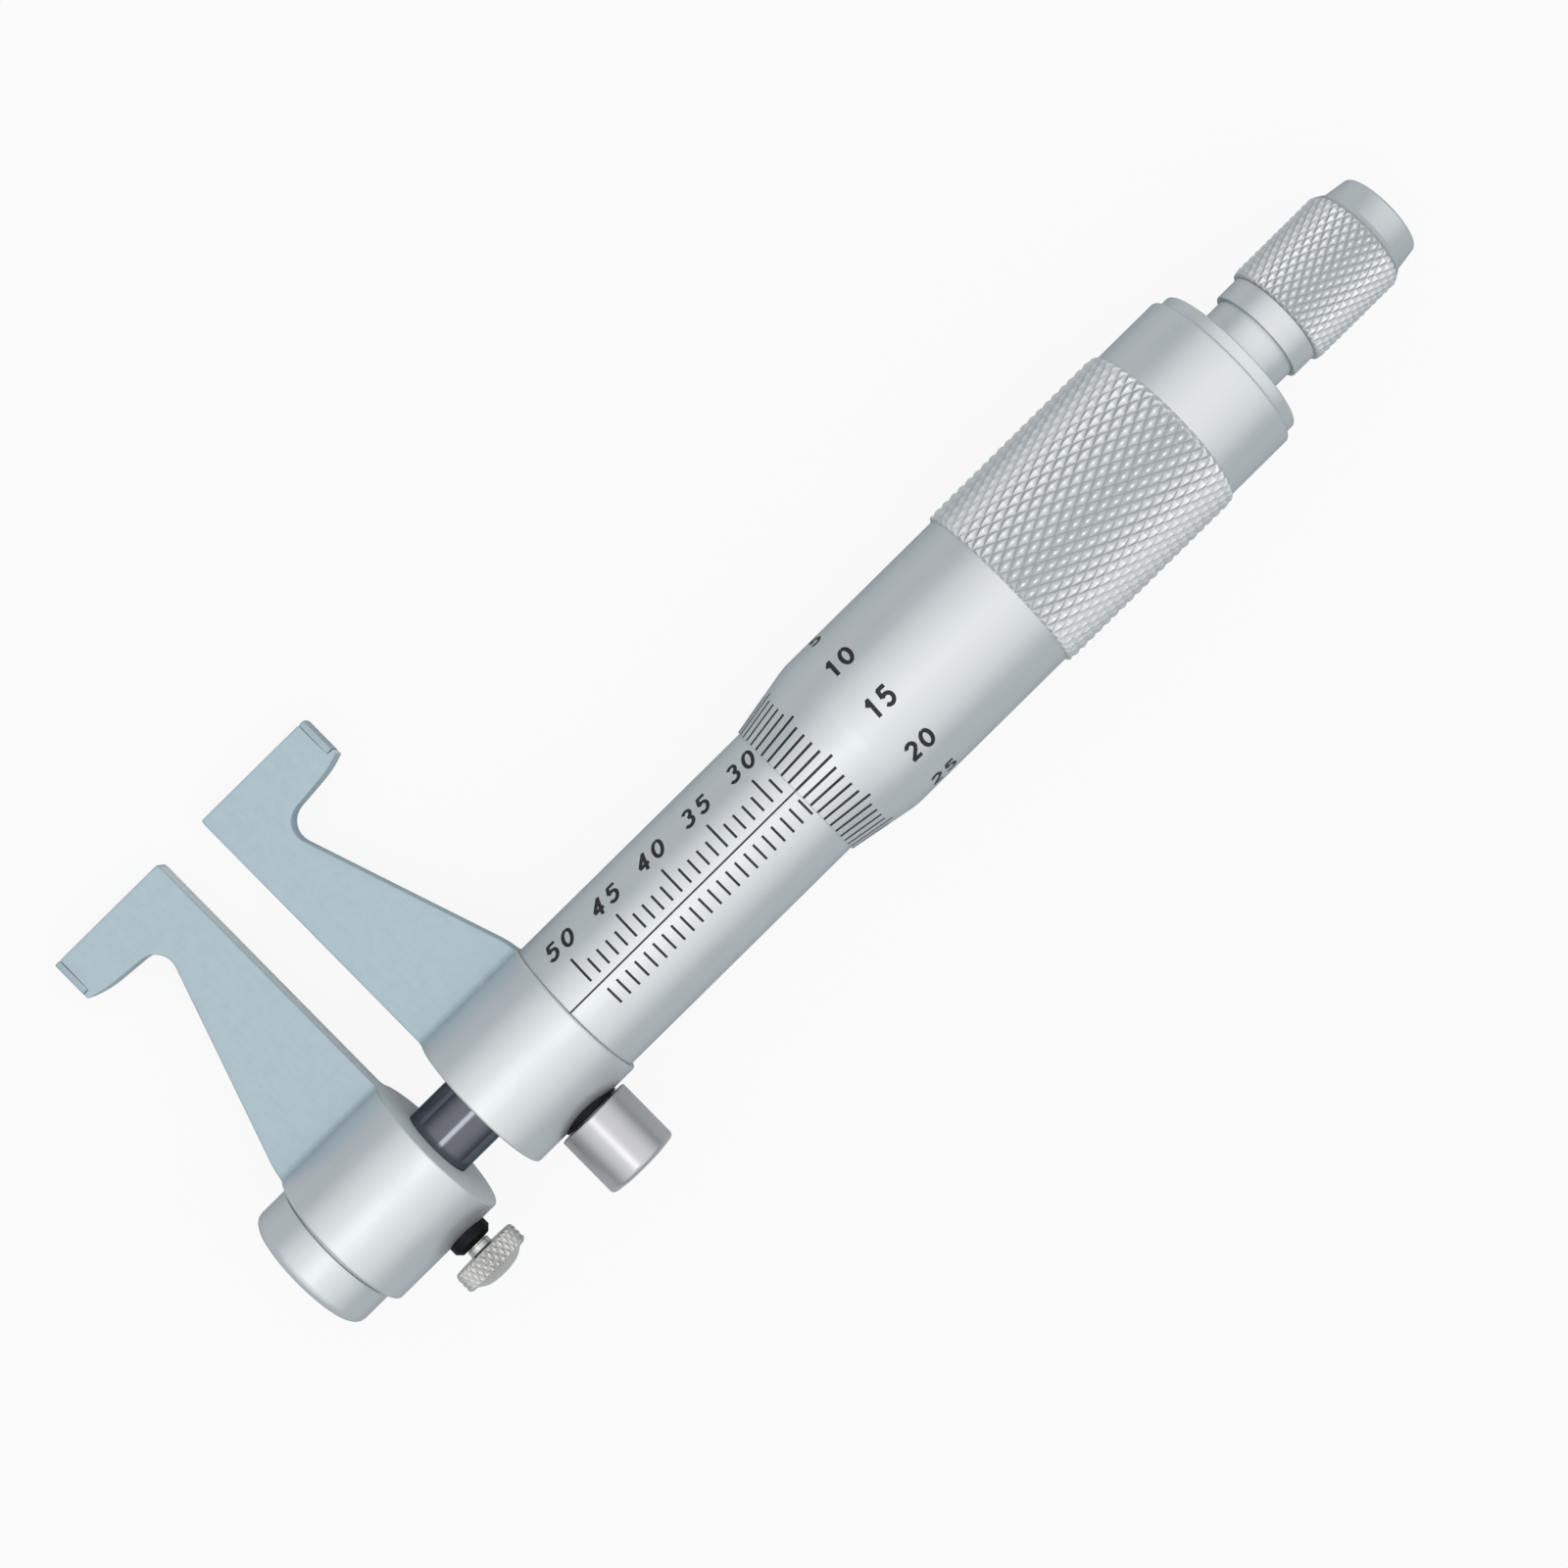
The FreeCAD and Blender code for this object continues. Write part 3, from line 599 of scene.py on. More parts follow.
def jaw_plate():
    """Rounded rectangles (rings) for every row, and three that shrink over the plate's top edge.

    A ring point is inner point + s × (outwards cos w, up sin w), with w turning a quarter at each
    of the four long edges and s = edge_round, which falls to nothing over the top edge.
    """
    outer, inner, y = plate_rows()
    lift = quarter(0, 90, 3)[1:]
    outer, inner = np.append(outer, [outer[-1]] * 3), np.append(inner, [inner[-1]] * 3)
    size = np.append(np.full(len(y), edge_round), edge_round * np.cos(lift))
    y = np.append(y, jaw_reach - edge_round + edge_round * np.sin(lift))
    sides = []
    for edge, sign in ((outer, 1), (inner, -1)):
        slope = np.gradient(edge, y)
        slope[-4:] = 0
        normal = unit(np.stack([np.full(len(y), sign), -sign * slope], -1))
        sides.append((np.stack([edge, y], -1) + normal * edge_round, -normal))
    turns = [
        (0, -1, quarter(-90, 0)),
        (0, 1, quarter(0, 90)),
        (1, 1, quarter(90, 0)),
        (1, -1, quarter(0, -90)),
    ]
    corners = []
    for side, up, angles in turns:
        core, out = sides[side]
        flat = core[:, None] + size[:, None, None] * out[:, None] * np.cos(angles)[None, :, None]
        z = up * (flare(flat[..., 1]) - edge_round) + size[:, None] * np.sin(angles)[None]
        corners.append(np.concatenate([flat, z[..., None]], -1))
    share = np.linspace(0, 1, 10)[None, 1:-1, None]
    front = corners[1][:, -1:] * (1 - share) + corners[2][:, :1] * share
    rear = corners[3][:, -1:] * (1 - share) + corners[0][:, :1] * share
    for face, sign in ((front, 1), (rear, -1)):
        face[..., 2] = sign * (flare(face[..., 1]) - edge_round + size[:, None])
    rings = np.concatenate([corners[0], corners[1], front, corners[2], corners[3], rear], 1)
    return rings


def stacked(rings):
    """Faces over a stack of closed rings, with a flat face on the first and the last."""
    rows, columns = rings.shape[:2]
    faces = ring_faces(rows, columns, False).reshape(-1, 4).tolist()
    faces += [list(range(columns)), list(range((rows - 1) * columns, rows * columns))]
    return rings.reshape(-1, 3), faces


def measuring_pad():
    """Hard pad: a crowned section, sag = R - sqrt(R² - z²), carried up and rounded at its top."""
    z = np.linspace(-1.32, 1.32, 13)
    sag = crown_radius - np.sqrt(crown_radius ** 2 - z ** 2)
    side = crown_radius - math.sqrt(crown_radius ** 2 - jaw_half ** 2)
    back = pad_depth - 0.015
    corners = [(back, -jaw_half, 0), (side, -jaw_half, 0.1), *[(a, b, 0) for a, b in zip(sag, z)]]
    section = rounded(corners + [(side, jaw_half, 0.1), (back, jaw_half, 0)], 4, 0)
    centre = np.array([pad_depth / 2, 0.0])
    lift = quarter(0, 90, 3)
    foot = jaw_reach - pad_height + 0.035
    y = np.concatenate([[foot], jaw_reach - edge_round + edge_round * np.sin(lift)])
    inset = np.concatenate([[0], edge_round * (1 - np.cos(lift))])
    shrink = 1 - inset[:, None, None] / np.array([pad_depth / 2, jaw_half])
    flat = centre + (section - centre)[None] * shrink
    height = np.broadcast_to(y[:, None, None], (*flat.shape[:2], 1))
    return np.concatenate([flat[..., :1], height, flat[..., 1:]], -1)


def on_side(points, face, sign):
    """Shift measured-inward points to a measuring face at x = face, inward being sign × x."""
    return points * np.array([sign, 1, 1]) + np.array([face, 0, 0])


# %% Both jaws
hub_end = tip_stand + hub_length


def jaw(name, face, sign, bore, holes):
    """Turned hub, its plate and the holes for the bush, as one closed piece.

    The hub's outline is closed through its bore, a list of (x inwards, radius) steps.
    """
    corners = [(tip_stand, hub_radius, 0.2), (hub_end, hub_radius, 0.2), *bore]
    points, faces = turned(rounded(corners))
    item = make(name, on_side(points, face, sign), faces, chrome)
    points, faces = stacked(jaw_plate())
    item = combine(item, make("plate", on_side(points, face, sign), faces, jaw_steel), "UNION")
    for place, radius, depth in holes:
        outline = np.array([(depth, 0), (depth, radius), (9.0, radius), (9.0, 0)])
        points, faces = turned(outline, 96)
        item = combine(item, make("drill", toward_knob(points, place), faces, chrome), "DIFFERENCE")
    paint_plate(item)
    return item


def paint_plate(item):
    """Chrome on the hub and matt steel on the plate, by each face's distance from the axis; the faces
    at the piece's two ends get a paler, nearly matt chrome as painted light, which keeps them bright
    in the shade between the hubs.
    """
    x, y, z = face_centres(item)
    reach = np.hypot(y, z)
    item.data.materials.clear()
    item.data.materials.append(chrome)
    item.data.materials.append(painted_light_end_chrome)
    start, end = limits("moving_jaw" if x.mean() < -15 else "fixed_jaw")
    # The end faces take the paler chrome, as painted light.
    at_end = (x < start + 0.02) | (x > end - 0.02)
    paint(item, (reach > hub_radius + 0.01) & ~at_end, jaw_steel, at_end)


fixed_face = limits("fixed_jaw_tip")[1]
moving_face = limits("moving_jaw_tip")[0]
lock_place = sum(limits("lock_bush")) / 2
clamp_place = sum(limits("clamp_bush")) / 2
bush_radius = 2.66
barrel_lip, barrel_bore, spindle_bore, stub_bore = 1.2, 4.61, 3.25, 2.61
fixed_bore = [
    (hub_end, spindle_bore, 0),
    (hub_end - barrel_lip, spindle_bore, 0),
    (hub_end - barrel_lip, barrel_bore, 0),
    (tip_stand, barrel_bore, 0),
]
moving_bore = [(hub_end, stub_bore, 0), (tip_stand, stub_bore, 0)]
fixed_jaw = jaw("fixed_jaw_form", fixed_face, -1, fixed_bore, [(lock_place, bush_radius + 0.01, 4.0)])
moving_jaw = jaw("moving_jaw_form", moving_face, 1, moving_bore,
                 [(clamp_place, 0.95, 2.0), (clamp_place, 1.83, 4.3)])
fit(fixed_jaw, "instrument", "jaw_steel", "fixed_jaw")
fit(moving_jaw, "sliding_jaw", "jaw_steel", "moving_jaw")

# %% Measuring pads
for name, face, sign, body, node in (
    ("fixed_pad", fixed_face, -1, "instrument", "fixed_jaw_tip"),
    ("moving_pad", moving_face, 1, "sliding_jaw", "moving_jaw_tip"),
):
    points, faces = stacked(measuring_pad())
    fit(make(name, on_side(points, face, sign), faces, carbide), body, "carbide", node)

# %% [markdown]
# ## Cap, spindle and sleeve
# These are plain turned pieces. What makes them look real is small: the cap's generous corner, the
# spindle's mirror polish beside the satin hubs, with its colour darkened as painted shade for the dark
# surroundings that it mirrors, and a sleeve that ends in a thin clean edge.
# The spindle's keyway and the sleeve's spanner hole, both at the back, are cut with an exact
# difference, because a groove with square walls doesn't fit a ring of even angles.
# %% End cap
cap_start, cap_end = limits("end_cap")
cap_radius, cap_floor, groove_radius, groove_width = 5.95, 1.58, 5.6, 0.34
cap_outline = rounded([
    (cap_start, 0, 0),
    (cap_start, cap_radius, 0.8),
    (cap_end - groove_width, cap_radius, 0.05),
    (cap_end - groove_width, groove_radius, 0),
    (cap_end - 0.01, groove_radius, 0),
    (cap_end - 0.01, stub_bore, 0),
    (cap_start + cap_floor, stub_bore, 0),
    (cap_start + cap_floor, 0, 0),
])
fit(make("end_cap_form", *turned(cap_outline), chrome), "sliding_jaw", "satin_chrome", "end_cap")

# %% Spindle
spindle_radius, stub_radius, socket_radius = 3.1, 2.6, 2.35
keyway_width, keyway_depth = 2.06, 0.8
spindle_start, spindle_end = limits("spindle")
hub_inner_end = limits("moving_jaw")[1]
socket_depth = 5.7
spindle_outline = rounded([
    (spindle_start, 0, 0),
    (spindle_start, stub_radius, 0.15),
    (hub_inner_end, stub_radius, 0),
    (hub_inner_end, spindle_radius, 0),
    (spindle_end, spindle_radius, 0.1),
    (spindle_end, socket_radius, 0),
    (spindle_end - socket_depth, socket_radius, 0),
    (spindle_end - socket_depth, 0, 0),
])


def box_points(low, high):
    """The eight corners and six faces of a box."""
    corner = np.array(np.meshgrid(*zip(low, high), indexing="ij")).reshape(3, -1).T
    return corner, [[0, 1, 3, 2], [4, 6, 7, 5], [0, 4, 5, 1], [2, 3, 7, 6], [0, 2, 6, 4], [1, 5, 7, 3]]


key_start, key_end = limits("guide_key")
travel = joints["jaw_slide"]["range_m"]
way_start, way_end = key_start + travel[0] / mm - 0.2, key_end + travel[1] / mm + 0.2
points, faces = box_points((way_start, -keyway_width / 2, -4.0),
                           (way_end, keyway_width / 2, -spindle_radius + keyway_depth))
spindle = make("spindle_form", *turned(spindle_outline), shade_darkened_spindle_steel)
spindle = combine(spindle, make("keyway", points, faces, shade_darkened_spindle_steel), "DIFFERENCE")
fit(spindle, "sliding_jaw", "spindle_steel", "spindle")

# %% Graduated sleeve
sleeve_radius, sleeve_bore = 6.41, 5.62
hole_place, hole_radius = 8.0, 0.55
sleeve_start, sleeve_end = limits("graduated_sleeve")
sleeve_outline = rounded([
    (sleeve_start, sleeve_bore, 0),
    (sleeve_start, sleeve_radius, 0.05),
    (sleeve_end, sleeve_radius, 0.1),
    (sleeve_end, sleeve_bore, 0),
])
sleeve = make("sleeve_form", *turned(sleeve_outline), chrome)
points, faces = turned(np.array([(4.0, 0), (4.0, hole_radius), (8.0, hole_radius), (8.0, 0)]), 48)
drill_points = np.stack([hole_place + points[:, 1], points[:, 2], -points[:, 0]], -1)
sleeve = combine(sleeve, make("drill", drill_points, faces, chrome), "DIFFERENCE")
fit(sleeve, "instrument", "satin_chrome", "graduated_sleeve")

# %% [markdown]
# ## Knobs and bushes
# The lock knob is a plain turned drum on a black bush. The clamp screw has a knurled head with a
# low dome, on a thin neck and a smaller bush. Both stand square to the axis, so they are turned
# like the rest and then pointed away from the jaws.
# %% Lock and clamp
def radial(name, corners, place, material, body, slot, node, **more):
    """A turned piece that stands on the knobs' side, from (distance, radius, rounding) corners."""
    points, faces = turned(rounded(corners), **more)
    return fit(make(name, toward_knob(points, place), faces, material), body, slot, node)


def reach_from_axis(node):
    """Least and greatest distance of a node from the axis, towards the knobs."""
    side = np.array([v.co for v in frame["nodes"][node].data.vertices]) - zero
    away = -(side @ jaw_way) / mm
    return away.min(), away.max()


bush_foot = reach_from_axis("lock_bush")[0]
bush_top = hub_radius + 0.16
stem_radius, bush_bore, drum_radius = 1.7, 1.75, 3.38
radial("lock_bush_form", [
    (bush_foot, bush_bore, 0), (bush_foot, bush_radius, 0), (bush_top, bush_radius, 0.08),
    (bush_top, bush_bore, 0),
], lock_place, black_steel, "instrument", "black_steel", "lock_bush")
stem_foot, knob_top = reach_from_axis("lock_knob")
knob_foot = bush_top + 0.1
radial("lock_knob_form", [
    (stem_foot, 0, 0), (stem_foot, stem_radius, 0.1), (knob_foot, stem_radius, 0),
    (knob_foot, drum_radius, 0.12), (knob_top - 0.2, drum_radius, 0.4),
    (knob_top - 0.02, 2.2, 1.5), (knob_top, 0, 0),
], lock_place, knob_steel, "lock_handle", "knob_steel", "lock_knob")
bush_foot, bush_top = reach_from_axis("clamp_bush")
clamp_bore, clamp_bush_radius, clamp_bush_bevel = 0.95, 1.82, 0.45
radial("clamp_bush_form", [
    (bush_foot, clamp_bore, 0), (bush_foot, clamp_bush_radius, 0),
    (bush_top - clamp_bush_bevel, clamp_bush_radius, 0.1),
    (bush_top, clamp_bush_radius - 0.44, 0.1), (bush_top, clamp_bore, 0),
], clamp_place, black_steel, "sliding_jaw", "black_steel", "clamp_bush")

# %% Clamp screw with its knurled head
stem_foot, dome_top = reach_from_axis("clamp_screw")
head_foot, head_end, head_radius = 8.64, 10.46, 3.09
head_teeth, head_step, steps = 30, 0.1011, 10
head_slopes = ((0.24, 1.2), (0.24, 1.2))
head_knurl = knurl(head_foot, head_end, head_radius, head_slopes, head_step * steps, head_teeth, 0.2)
clamp_screw = radial("clamp_screw_form", [
    (stem_foot, 0, 0), (stem_foot, 0.9, 0.05), (8.02, 0.9, 0), (8.02, 1.05, 0.05),
    (head_foot, 1.05, 0.25), *band_rows(head_foot, head_end, head_radius, head_step),
    (head_end, 2.45, 0.1), (dome_top - 0.15, 1.6, 2.0),
    (dome_top, 0.6, 1.2), (dome_top, 0, 0),
], clamp_place, clamp_steel, "clamp_handle", "knob_steel", "clamp_screw",
    segments=head_teeth * steps, relief=head_knurl)
x, y, z = face_centres(clamp_screw)
on_head = (-y > head_foot + 0.1) & (-y < head_end - 0.1) & (np.hypot(x - clamp_place, z) > 2.8)
paint(clamp_screw, on_head, clamp_grip)

# %% [markdown]
# ## Thimble
# The thimble carries the fine scale on a long cone, a smooth stretch with the numbers and the
# knurled grip. Its rings count a whole number of steps to each pyramid, both round and along, so
# every groove falls on points of the grid and stays crisp.
# %% Thimble
thimble_start, thimble_end = limits("thimble")
edge_radius, bore_radius, body_radius, grip_radius = 6.57, 6.47, 7.71, 8.09
cone_end = thimble_start + 6.2
grip_start = thimble_start + 23.0
grip_step, grip_around = 0.1764, 50
grip_end = grip_start + 106 * grip_step
web_start = thimble_end - 3.2
grip_slopes = ((0.28, 1.6), (0.37, 0.8))
grip_knurl = knurl(
    grip_start, grip_end, grip_radius, grip_slopes, grip_step * steps, grip_around, 0.34)
thimble_outline = rounded([
    (thimble_start, bore_radius, 0),
    (thimble_start, edge_radius, 0.04),
    (cone_end, body_radius, 6.0),
    (grip_start, body_radius, 0),
    *band_rows(grip_start, grip_end, grip_radius, grip_step),
    (grip_end, body_radius, 0),
    (thimble_end, body_radius, 0.2),
    (thimble_end, 2.66, 0),
    (web_start, 3.01, 0),
    (web_start, bore_radius, 0),
])
thimble = make("thimble_form", *turned(thimble_outline, grip_around * steps, grip_knurl), chrome)
place, y, z = face_centres(thimble)
on_grip = (place > grip_start + 0.01) & (place < grip_end - 0.3) & (np.hypot(y, z) > bore_radius + 1)
paint(thimble, on_grip, grip_chrome)
fit(thimble, "thimble_assembly", "satin_chrome", "thimble")

# %% [markdown]
# ## Ratchet stop
# Behind the thimble a flange and neck carry the ratchet: a collar with a thin raised lip, and a
# knob with finer knurling that narrows to a smooth end. The axle inside isn't seen, but the knob
# is hollow as on the real one and turns round it.
# %% Flange, collar and knob
body_start, body_end = limits("ratchet_body")
collar_start, collar_spigot_end = limits("ratchet_collar")
flange_end = body_start + 1.15
neck_end = collar_start + 0.08
flange_radius, neck_radius, axle_radius = 7.2, 3.97, 1.6
flange_outline = rounded([
    (body_start + 0.02, 0, 0),
    (body_start + 0.02, flange_radius, 0.1),
    (flange_end, flange_radius, 0.14),
    (flange_end, neck_radius, 0.7),
    (neck_end, neck_radius, 0.03),
    (neck_end, axle_radius, 0),
    (body_end, axle_radius, 0.1),
    (body_end, 0, 0),
])
fit(make("ratchet_body_form", *turned(flange_outline), chrome),
    "thimble_assembly", "satin_chrome", "ratchet_body")
knob_start, knob_end = limits("ratchet_knob")
collar_radius, spigot_radius, axle_bore, recess_radius = 4.38, 3.74, 2.03, 4.01
collar_outline = rounded([
    (collar_start + 0.12, axle_bore, 0),
    (collar_start + 0.12, recess_radius, 0),
    (collar_start, recess_radius, 0.03),
    (collar_start, collar_radius, 0.1),
    (knob_start - 0.01, collar_radius, 0.06),
    (knob_start - 0.01, spigot_radius, 0),
    (collar_spigot_end - 0.42, spigot_radius, 0),
    (collar_spigot_end - 0.42, axle_bore, 0),
])
fit(make("ratchet_collar_form", *turned(collar_outline), chrome),
    "ratchet_handle", "satin_chrome", "ratchet_collar")
knob_radius, knob_teeth, knob_step = 4.84, 38, 0.131
knob_bore, knob_bore_depth = 3.75, 9.3
knob_band_end = knob_start + 74 * knob_step
knob_slopes = ((0.3, 1.5), (0.64, 0.64))
knob_knurl = knurl(
    knob_start, knob_band_end, knob_radius, knob_slopes, knob_step * steps, knob_teeth, 0.25)
knob_outline = rounded([
    (knob_start, knob_bore, 0),
    *band_rows(knob_start, knob_band_end, knob_radius, knob_step),
    (knob_end, 3.78, 0.35),
    (knob_end, 0.05, 0),
    (knob_start + knob_bore_depth, 0.05, 0),
    (knob_start + knob_bore_depth, knob_bore, 0),
])
knob = make("ratchet_knob_form", *turned(knob_outline, knob_teeth * steps, knob_knurl), chrome)
place, y, z = face_centres(knob)
on_grip = (place > knob_start + 0.01) & (place < knob_band_end - 0.45) & (np.hypot(y, z) > 4.3)
paint(knob, on_grip, knob_chrome)
fit(knob, "ratchet_handle", "satin_chrome", "ratchet_knob")

# %% [markdown]
# ## Engraved scales
# The scales are engraved and filled with black wax. Grooves that thin would need a very fine mesh,
# so each line is a slab of the wax itself, bent round the metal and standing six thousandths of a
# millimetre proud. The lines stay true to the scale: one for each millimetre and half millimetre
# on the sleeve, and fifty round the thimble.
# %% Slabs bent round a turned surface
def inlaid(patches, radius_at, columns=9):
    """Closed slabs for (x0, x1, angle0, angle1) patches, in degrees from the front to the tips.

    A slab is a stack of four-cornered rings: ring angle a, corners at x0 and x1, and r from
    0.02 below the surface to 0.006 above it, so a point is (x, r sin a, r cos a).
    """
    x0, x1, a0, a1 = (column[:, None] for column in patches.T)
    angle = np.radians(a0 + (a1 - a0) * np.linspace(0, 1, columns))[:, :, None]
    x = np.concatenate([x0, x1, x1, x0], 1)[:, None, :]
    r = radius_at(x) + np.array([-0.02, -0.02, 0.006, 0.006])
    slabs = np.stack([x + 0 * angle, r * np.sin(angle), r * np.cos(angle)], -1)
    faces = stacked(slabs[0])[1]
    count = columns * 4
    every = [[corner + n * count for corner in face] for n in range(len(patches)) for face in faces]
    return slabs.reshape(-1, 3), every


# %% Sleeve lines
reading_place, line_width, fine_width = 52.96, 0.21, 0.15
values = np.arange(25, 51)
line_x = reading_place - values
is_long = values % 5 == 0
whole = np.stack([line_x - line_width / 2, line_x + line_width / 2,
                  np.full(26, 5.6), np.where(is_long, 27.8, 19.1)], -1)
half_x = line_x[:-1] - 0.5
half = np.stack([half_x - line_width / 2, half_x + line_width / 2,
                 np.full(25, -20.4), np.full(25, -5.9)], -1)
half_angle = math.degrees(fine_width / 2 / sleeve_radius)
index_line = np.array([[0.05, line_x[0] + 0.5, -half_angle, half_angle]])
lines = inlaid(np.concatenate([whole, half, index_line]), lambda x: sleeve_radius + 0 * x)
fit(make("sleeve_lines", *lines, ink), "instrument", "black_steel")
print("sleeve lines:", len(whole) + len(half) + 1)


# %% Thimble lines
def thimble_radius(x):
    """Radius of the thimble's cone and then of its body: lerp from edge to body, then level."""
    share = np.clip((x - thimble_start) / (cone_end - thimble_start), 0, 1)
    return edge_radius + (body_radius - edge_radius) * share


index_value = 15
division = 360 / 50
numbers = np.arange(50)
line_angle = (index_value - numbers) * division
turn_half = math.degrees(line_width / 2 / edge_radius)
line_start = np.full(50, thimble_start + 0.02)
line_end = thimble_start + np.where(numbers % 5 == 0, 4.0, 3.55)
lines = np.stack([line_start, line_end, line_angle - turn_half, line_angle + turn_half], -1)
fit(make("thimble_lines", *inlaid(lines, thimble_radius, 3), ink), "thimble_assembly", "black_steel")

# %% [markdown]
# ## Numbers
# The numbers are plain rounded figures, stamped and filled with the same black. Blender's text
# would do, but its letters are drawn for paper and are too light here. So each figure is a few
# strokes, arcs and straight lines, and a pen of one width follows them round the barrel.
# %% Figures as strokes
def arc(x, y, wide, high, first, last):
    """Points on an ellipse, from one angle in degrees to another, anticlockwise if it grows."""
    w = np.radians(np.linspace(first, last, 25))
    return np.stack([x + wide * np.cos(w), y + high * np.sin(w)], -1)


def straight(x0, y0, x1, y1):
    """Points on a straight line."""
    share = np.linspace(0, 1, 25)[:, None]
    return np.array([x0, y0]) * (1 - share) + np.array([x1, y1]) * share


figures = {
    "0": [arc(0.5, 0.5, 0.5, 0.5, 90, 450)],
    "1": [straight(0.62, -0.09, 0.62, 1.09), straight(0.62, 1.0, 0.22, 0.72)],
    "2": [arc(0.5, 0.72, 0.44, 0.28, 165, -32), straight(0.87, 0.57, 0.06, 0.0),
          straight(-0.02, 0.0, 1.0, 0.0)],
    "3": [arc(0.48, 0.75, 0.42, 0.25, 155, -90), arc(0.48, 0.25, 0.5, 0.25, 90, -155)],
    "4": [straight(0.74, -0.09, 0.74, 1.09), straight(0.74, 1.0, 0.0, 0.28),
          straight(-0.06, 0.27, 1.1, 0.27)],
    "5": [straight(0.94, 1.0, 0.1, 1.0), straight(0.15, 1.05, 0.08, 0.52),
          arc(0.46, 0.31, 0.5, 0.31, 140, -150)],
}


def stroke(line, pen, angle, radius):
    """A slab along a line (u, v) on a barrel: (x, r, angle) = (u, radius, angle + v / radius).

    Its four-cornered rings stand half a pen's width to each side, square to the line, from 0.02
    below the surface to 0.006 above it.
    """
    way = unit(np.gradient(line, axis=0))
    side = np.stack([-way[:, 1], way[:, 0]], -1) * pen / 2
    flat = np.stack([line + side, line - side, line - side, line + side], 1)
    r = radius + np.array([-0.02, -0.02, 0.006, 0.006])
    a = np.radians(angle) + flat[..., 1] / radius
    return stacked(np.stack([flat[..., 0], r * np.sin(a), r * np.cos(a)], -1))


def number(text, x, angle, radius, pen, figure=(0.9, 1.5), step=1.5, slant=0.0):
    """Strokes of a number centred at x and at an angle in degrees on a barrel.

    A figure's unit point (p, q) goes to u = x + (p - 0.5) wide + slant v, v = (q - 0.5) high.
    """
    middle = (len(text) - 1) / 2
    parts = []
    for place, sign in enumerate(text):
        for line in figures[sign]:
            flat = (line - 0.5) * np.array(figure)
            flat[:, 0] += x + (place - middle) * step + slant * flat[:, 1]
            parts.append(stroke(flat, pen, angle, radius))
    return parts


def merged(parts):
    """Several (points, faces) as one."""
    points, faces, count = [], [], 0
    for part_points, part_faces in parts:
        faces += [[corner + count for corner in face] for face in part_faces]
        points.append(part_points)
        count += len(part_points)
    return np.concatenate(points), faces


# %% The numbers of both scales
parts = []
for value in (50, 45, 40, 35, 30, 25):
    parts += number(str(value), reading_place - value + 0.1, 43.6, sleeve_radius, 0.33,
                    figure=(0.86, 1.5), step=1.62, slant=0.25)
fit(make("sleeve_numbers", *merged(parts), ink), "instrument", "black_steel")
parts = []
for value in range(0, 50, 5):
    parts += number(str(value), thimble_start + 9.5, (index_value - value) * division + 2.5,
                    body_radius, 0.36, figure=(0.88, 1.5), step=1.5, slant=0.06)
fit(make("thimble_numbers", *merged(parts), ink), "thimble_assembly", "black_steel")

# %% [markdown]
# ## Pieces that stay as they are
# The measuring screw, its nut, the ratchet's inside and the brass pressure pieces are hidden or
# nearly so, and their modelled shape is right. They only get a finish of their own.
# %% Finishes for the inner pieces
inner_finish = {
    "lock_plug": brass,
    "clamp_plug": brass,
    "ratchet_spring": spring,
}
kept = [name for name, node in frame["nodes"].items() if not node.hide_render]
for name in kept:
    for place in frame["nodes"][name].material_slots:
        place.material = inner_finish.get(name, inner)
print("kept from the model:", sorted(kept))

# %% [markdown]
# ## Table and light
# A satin cylinder has no colour of its own to speak of: it shows what is round it. A bright sky
# straight above and a darker horizon draw the soft gradient from a light middle to darker flanks,
# which a ring of lamps wouldn't. One soft lamp over the table adds a gentle shadow. The camera
# itself sees plain white behind the table, through a light path, so no light is spent on that.
# %% Table
table = Finish("pale_table", 0.0, (0.60, 0.62, 0.63), 0.9)
path = table.tree.nodes.new("ShaderNodeLightPath")
rays = ("Is Camera Ray", "Is Glossy Ray", "Is Transmission Ray")
sees = [Wire(table, path.outputs[ray]) for ray in rays]
glow = table.node("ShaderNodeEmission", inputs={"Color": (1, 1, 1, 1), "Strength": 1.0})
lifted = table.node("ShaderNodeMixShader", inputs={
    "Fac": sees[0] * 0.91 + (sees[1] + sees[2]) * 0.08,
    1: Wire(table, table.surface.outputs[0]),
    2: glow,
})
table.tree.links.new(lifted.socket, table.tree.nodes["Material Output"].inputs["Surface"])
half_width = 6.0
mesh = bpy.data.meshes.new("table")
corners = np.array([(-1, -1, 0), (1, -1, 0), (1, 1, 0), (-1, 1, 0)]) * half_width
mesh.from_pydata(corners.tolist(), [], [[0, 1, 2, 3]])
mesh.materials.append(table.material)
table_object = bpy.data.objects.new("table", mesh)
bpy.context.scene.collection.objects.link(table_object)

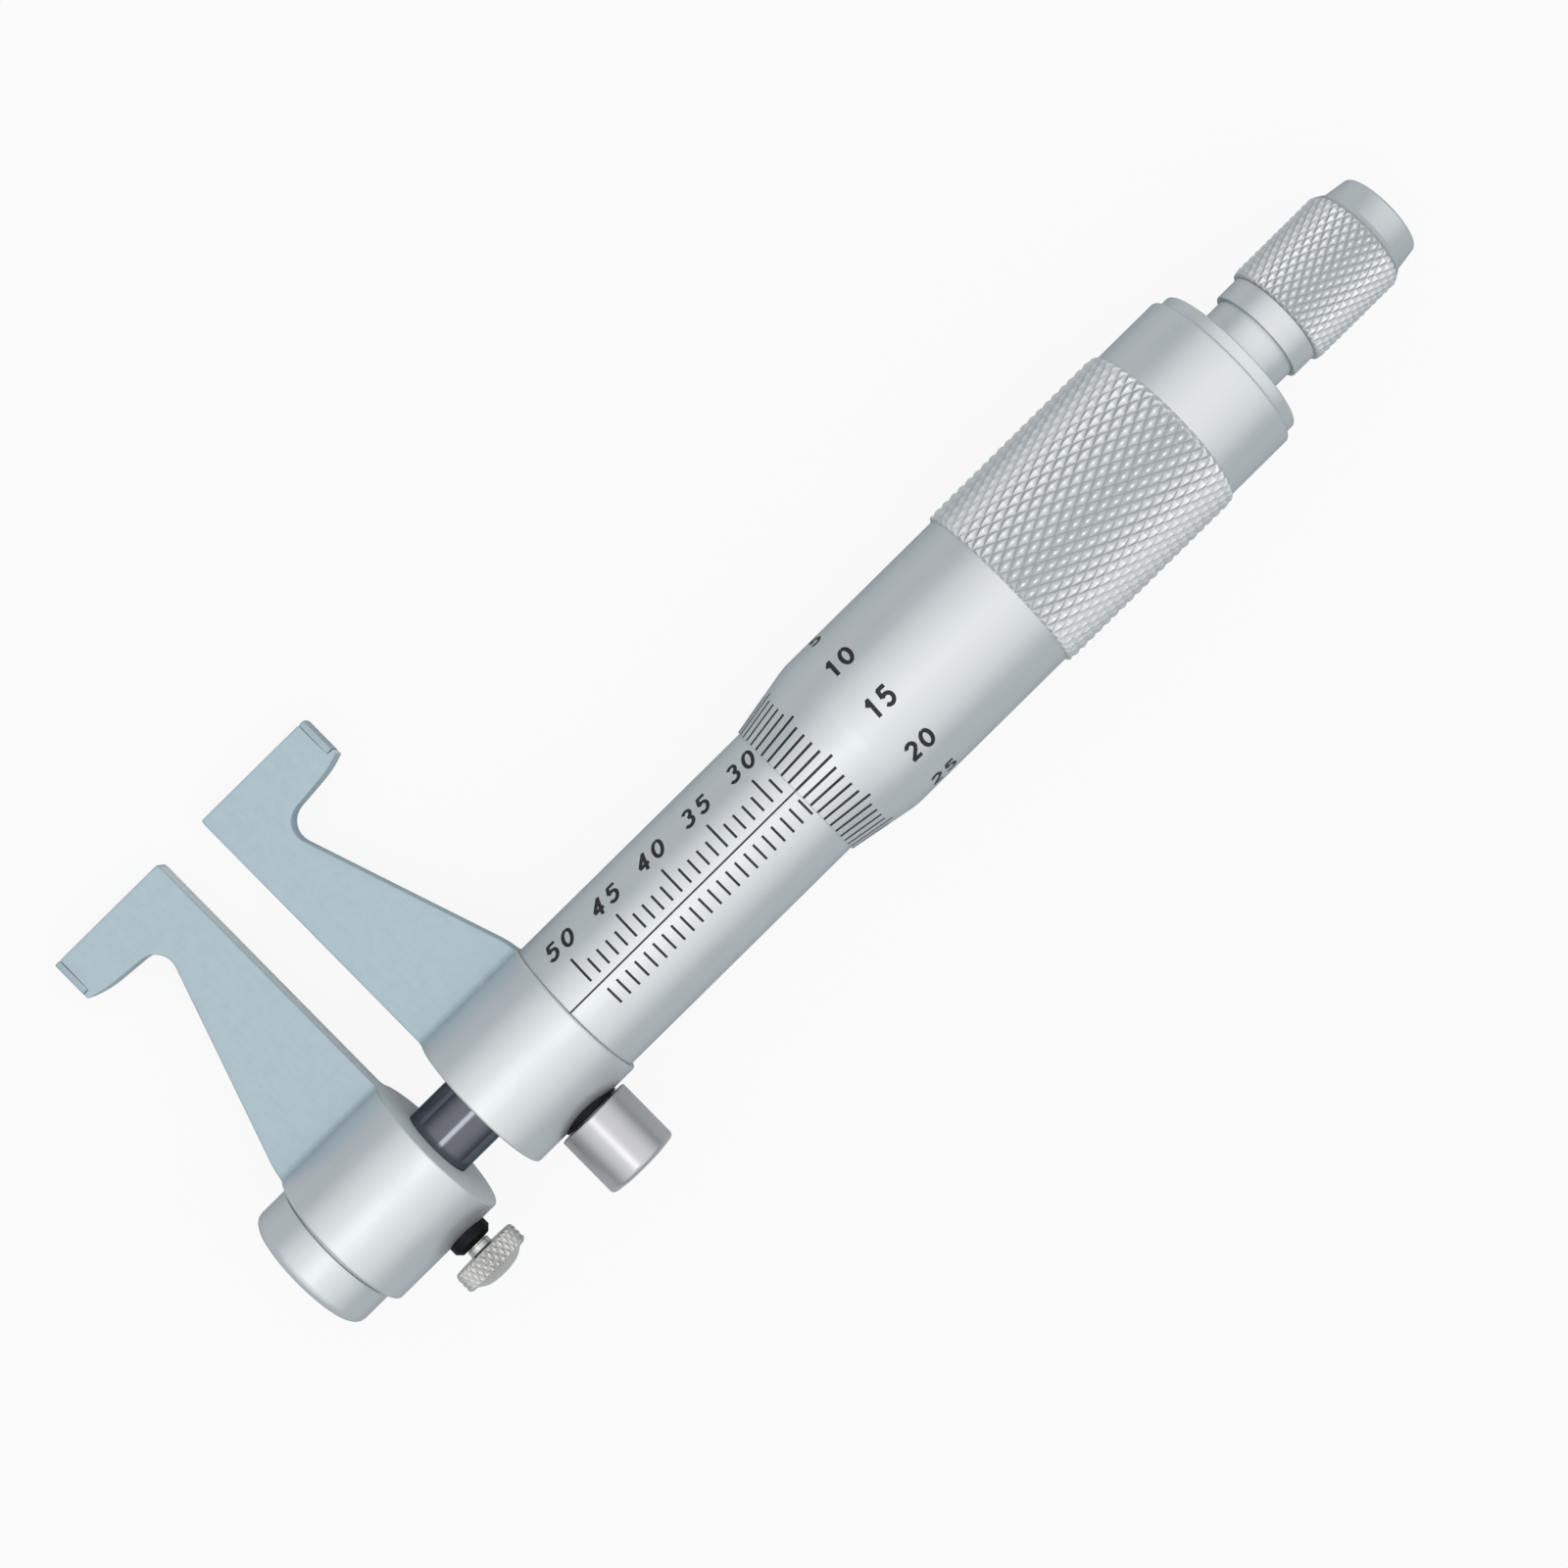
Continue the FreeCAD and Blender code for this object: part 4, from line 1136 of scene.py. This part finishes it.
# %% Sky and lamp
world = bpy.data.worlds.new("studio")
bpy.context.scene.world = world
world.use_nodes = True
sky = world.node_tree
direction = sky.nodes.new("ShaderNodeTexCoord")
split = sky.nodes.new("ShaderNodeSeparateXYZ")
ramp = sky.nodes.new("ShaderNodeValToRGB")
set_stops(ramp.color_ramp, [
    (0.0, (0.17, 0.21, 0.24)),
    (0.2, (0.33, 0.37, 0.40)),
    (0.5, (0.74, 0.76, 0.77)),
    (0.8, (1.0, 1.0, 1.0)),
])
sky.links.new(direction.outputs["Generated"], split.inputs[0])
sky.links.new(split.outputs["Z"], ramp.inputs[0])
seen = sky.nodes.new("ShaderNodeLightPath")
backdrop = sky.nodes.new("ShaderNodeMix")
backdrop.data_type = "RGBA"
backdrop.inputs[7].default_value = (1, 1, 1, 1)
sky.links.new(seen.outputs["Is Camera Ray"], backdrop.inputs[0])
sky.links.new(ramp.outputs[0], backdrop.inputs[6])
sky.links.new(backdrop.outputs[2], sky.nodes["Background"].inputs[0])
sky.nodes["Background"].inputs[1].default_value = 1.0

lamp = bpy.data.lights.new("lamp_above", "AREA")
lamp.shape = "DISK"
lamp.size = 0.15
lamp.energy = 0.16
lamp_object = bpy.data.objects.new("lamp_above", lamp)
bpy.context.scene.collection.objects.link(lamp_object)
lamp_object.location = settle(np.array([-110.0, -90.0, 600.0]))
towards = Vector(settle(np.array([10.0, 0.0, 0.0]))) - lamp_object.location
lamp_object.rotation_euler = towards.to_track_quat("-Z", "Y").to_euler()

# %% [markdown]
# ## Camera
# The photograph looks square onto the jaw plates, with the axis rising to the right. So the camera
# stands on the jaws' front normal and is turned about it. Its distance and lens were chosen to
# match how much of the hubs' round ends shows.
# %% Camera
tilt, distance = math.radians(44.6), 0.237
aim = settle(np.array([24.54, 1.02, 0.0]))
right = math.cos(tilt) * along - math.sin(tilt) * jaw_way
up = math.sin(tilt) * along + math.cos(tilt) * jaw_way
camera = bpy.data.cameras.new("camera")
camera.lens = 67.6
camera.sensor_width = 36.0
camera_object = bpy.data.objects.new("camera", camera)
bpy.context.scene.collection.objects.link(camera_object)
camera_object.matrix_world = Matrix((right, up, front_way)).transposed().to_4x4()
camera_object.location = Vector(aim + front_way * distance)
bpy.context.scene.camera = camera_object
bpy.context.scene.view_settings.view_transform = "Standard"
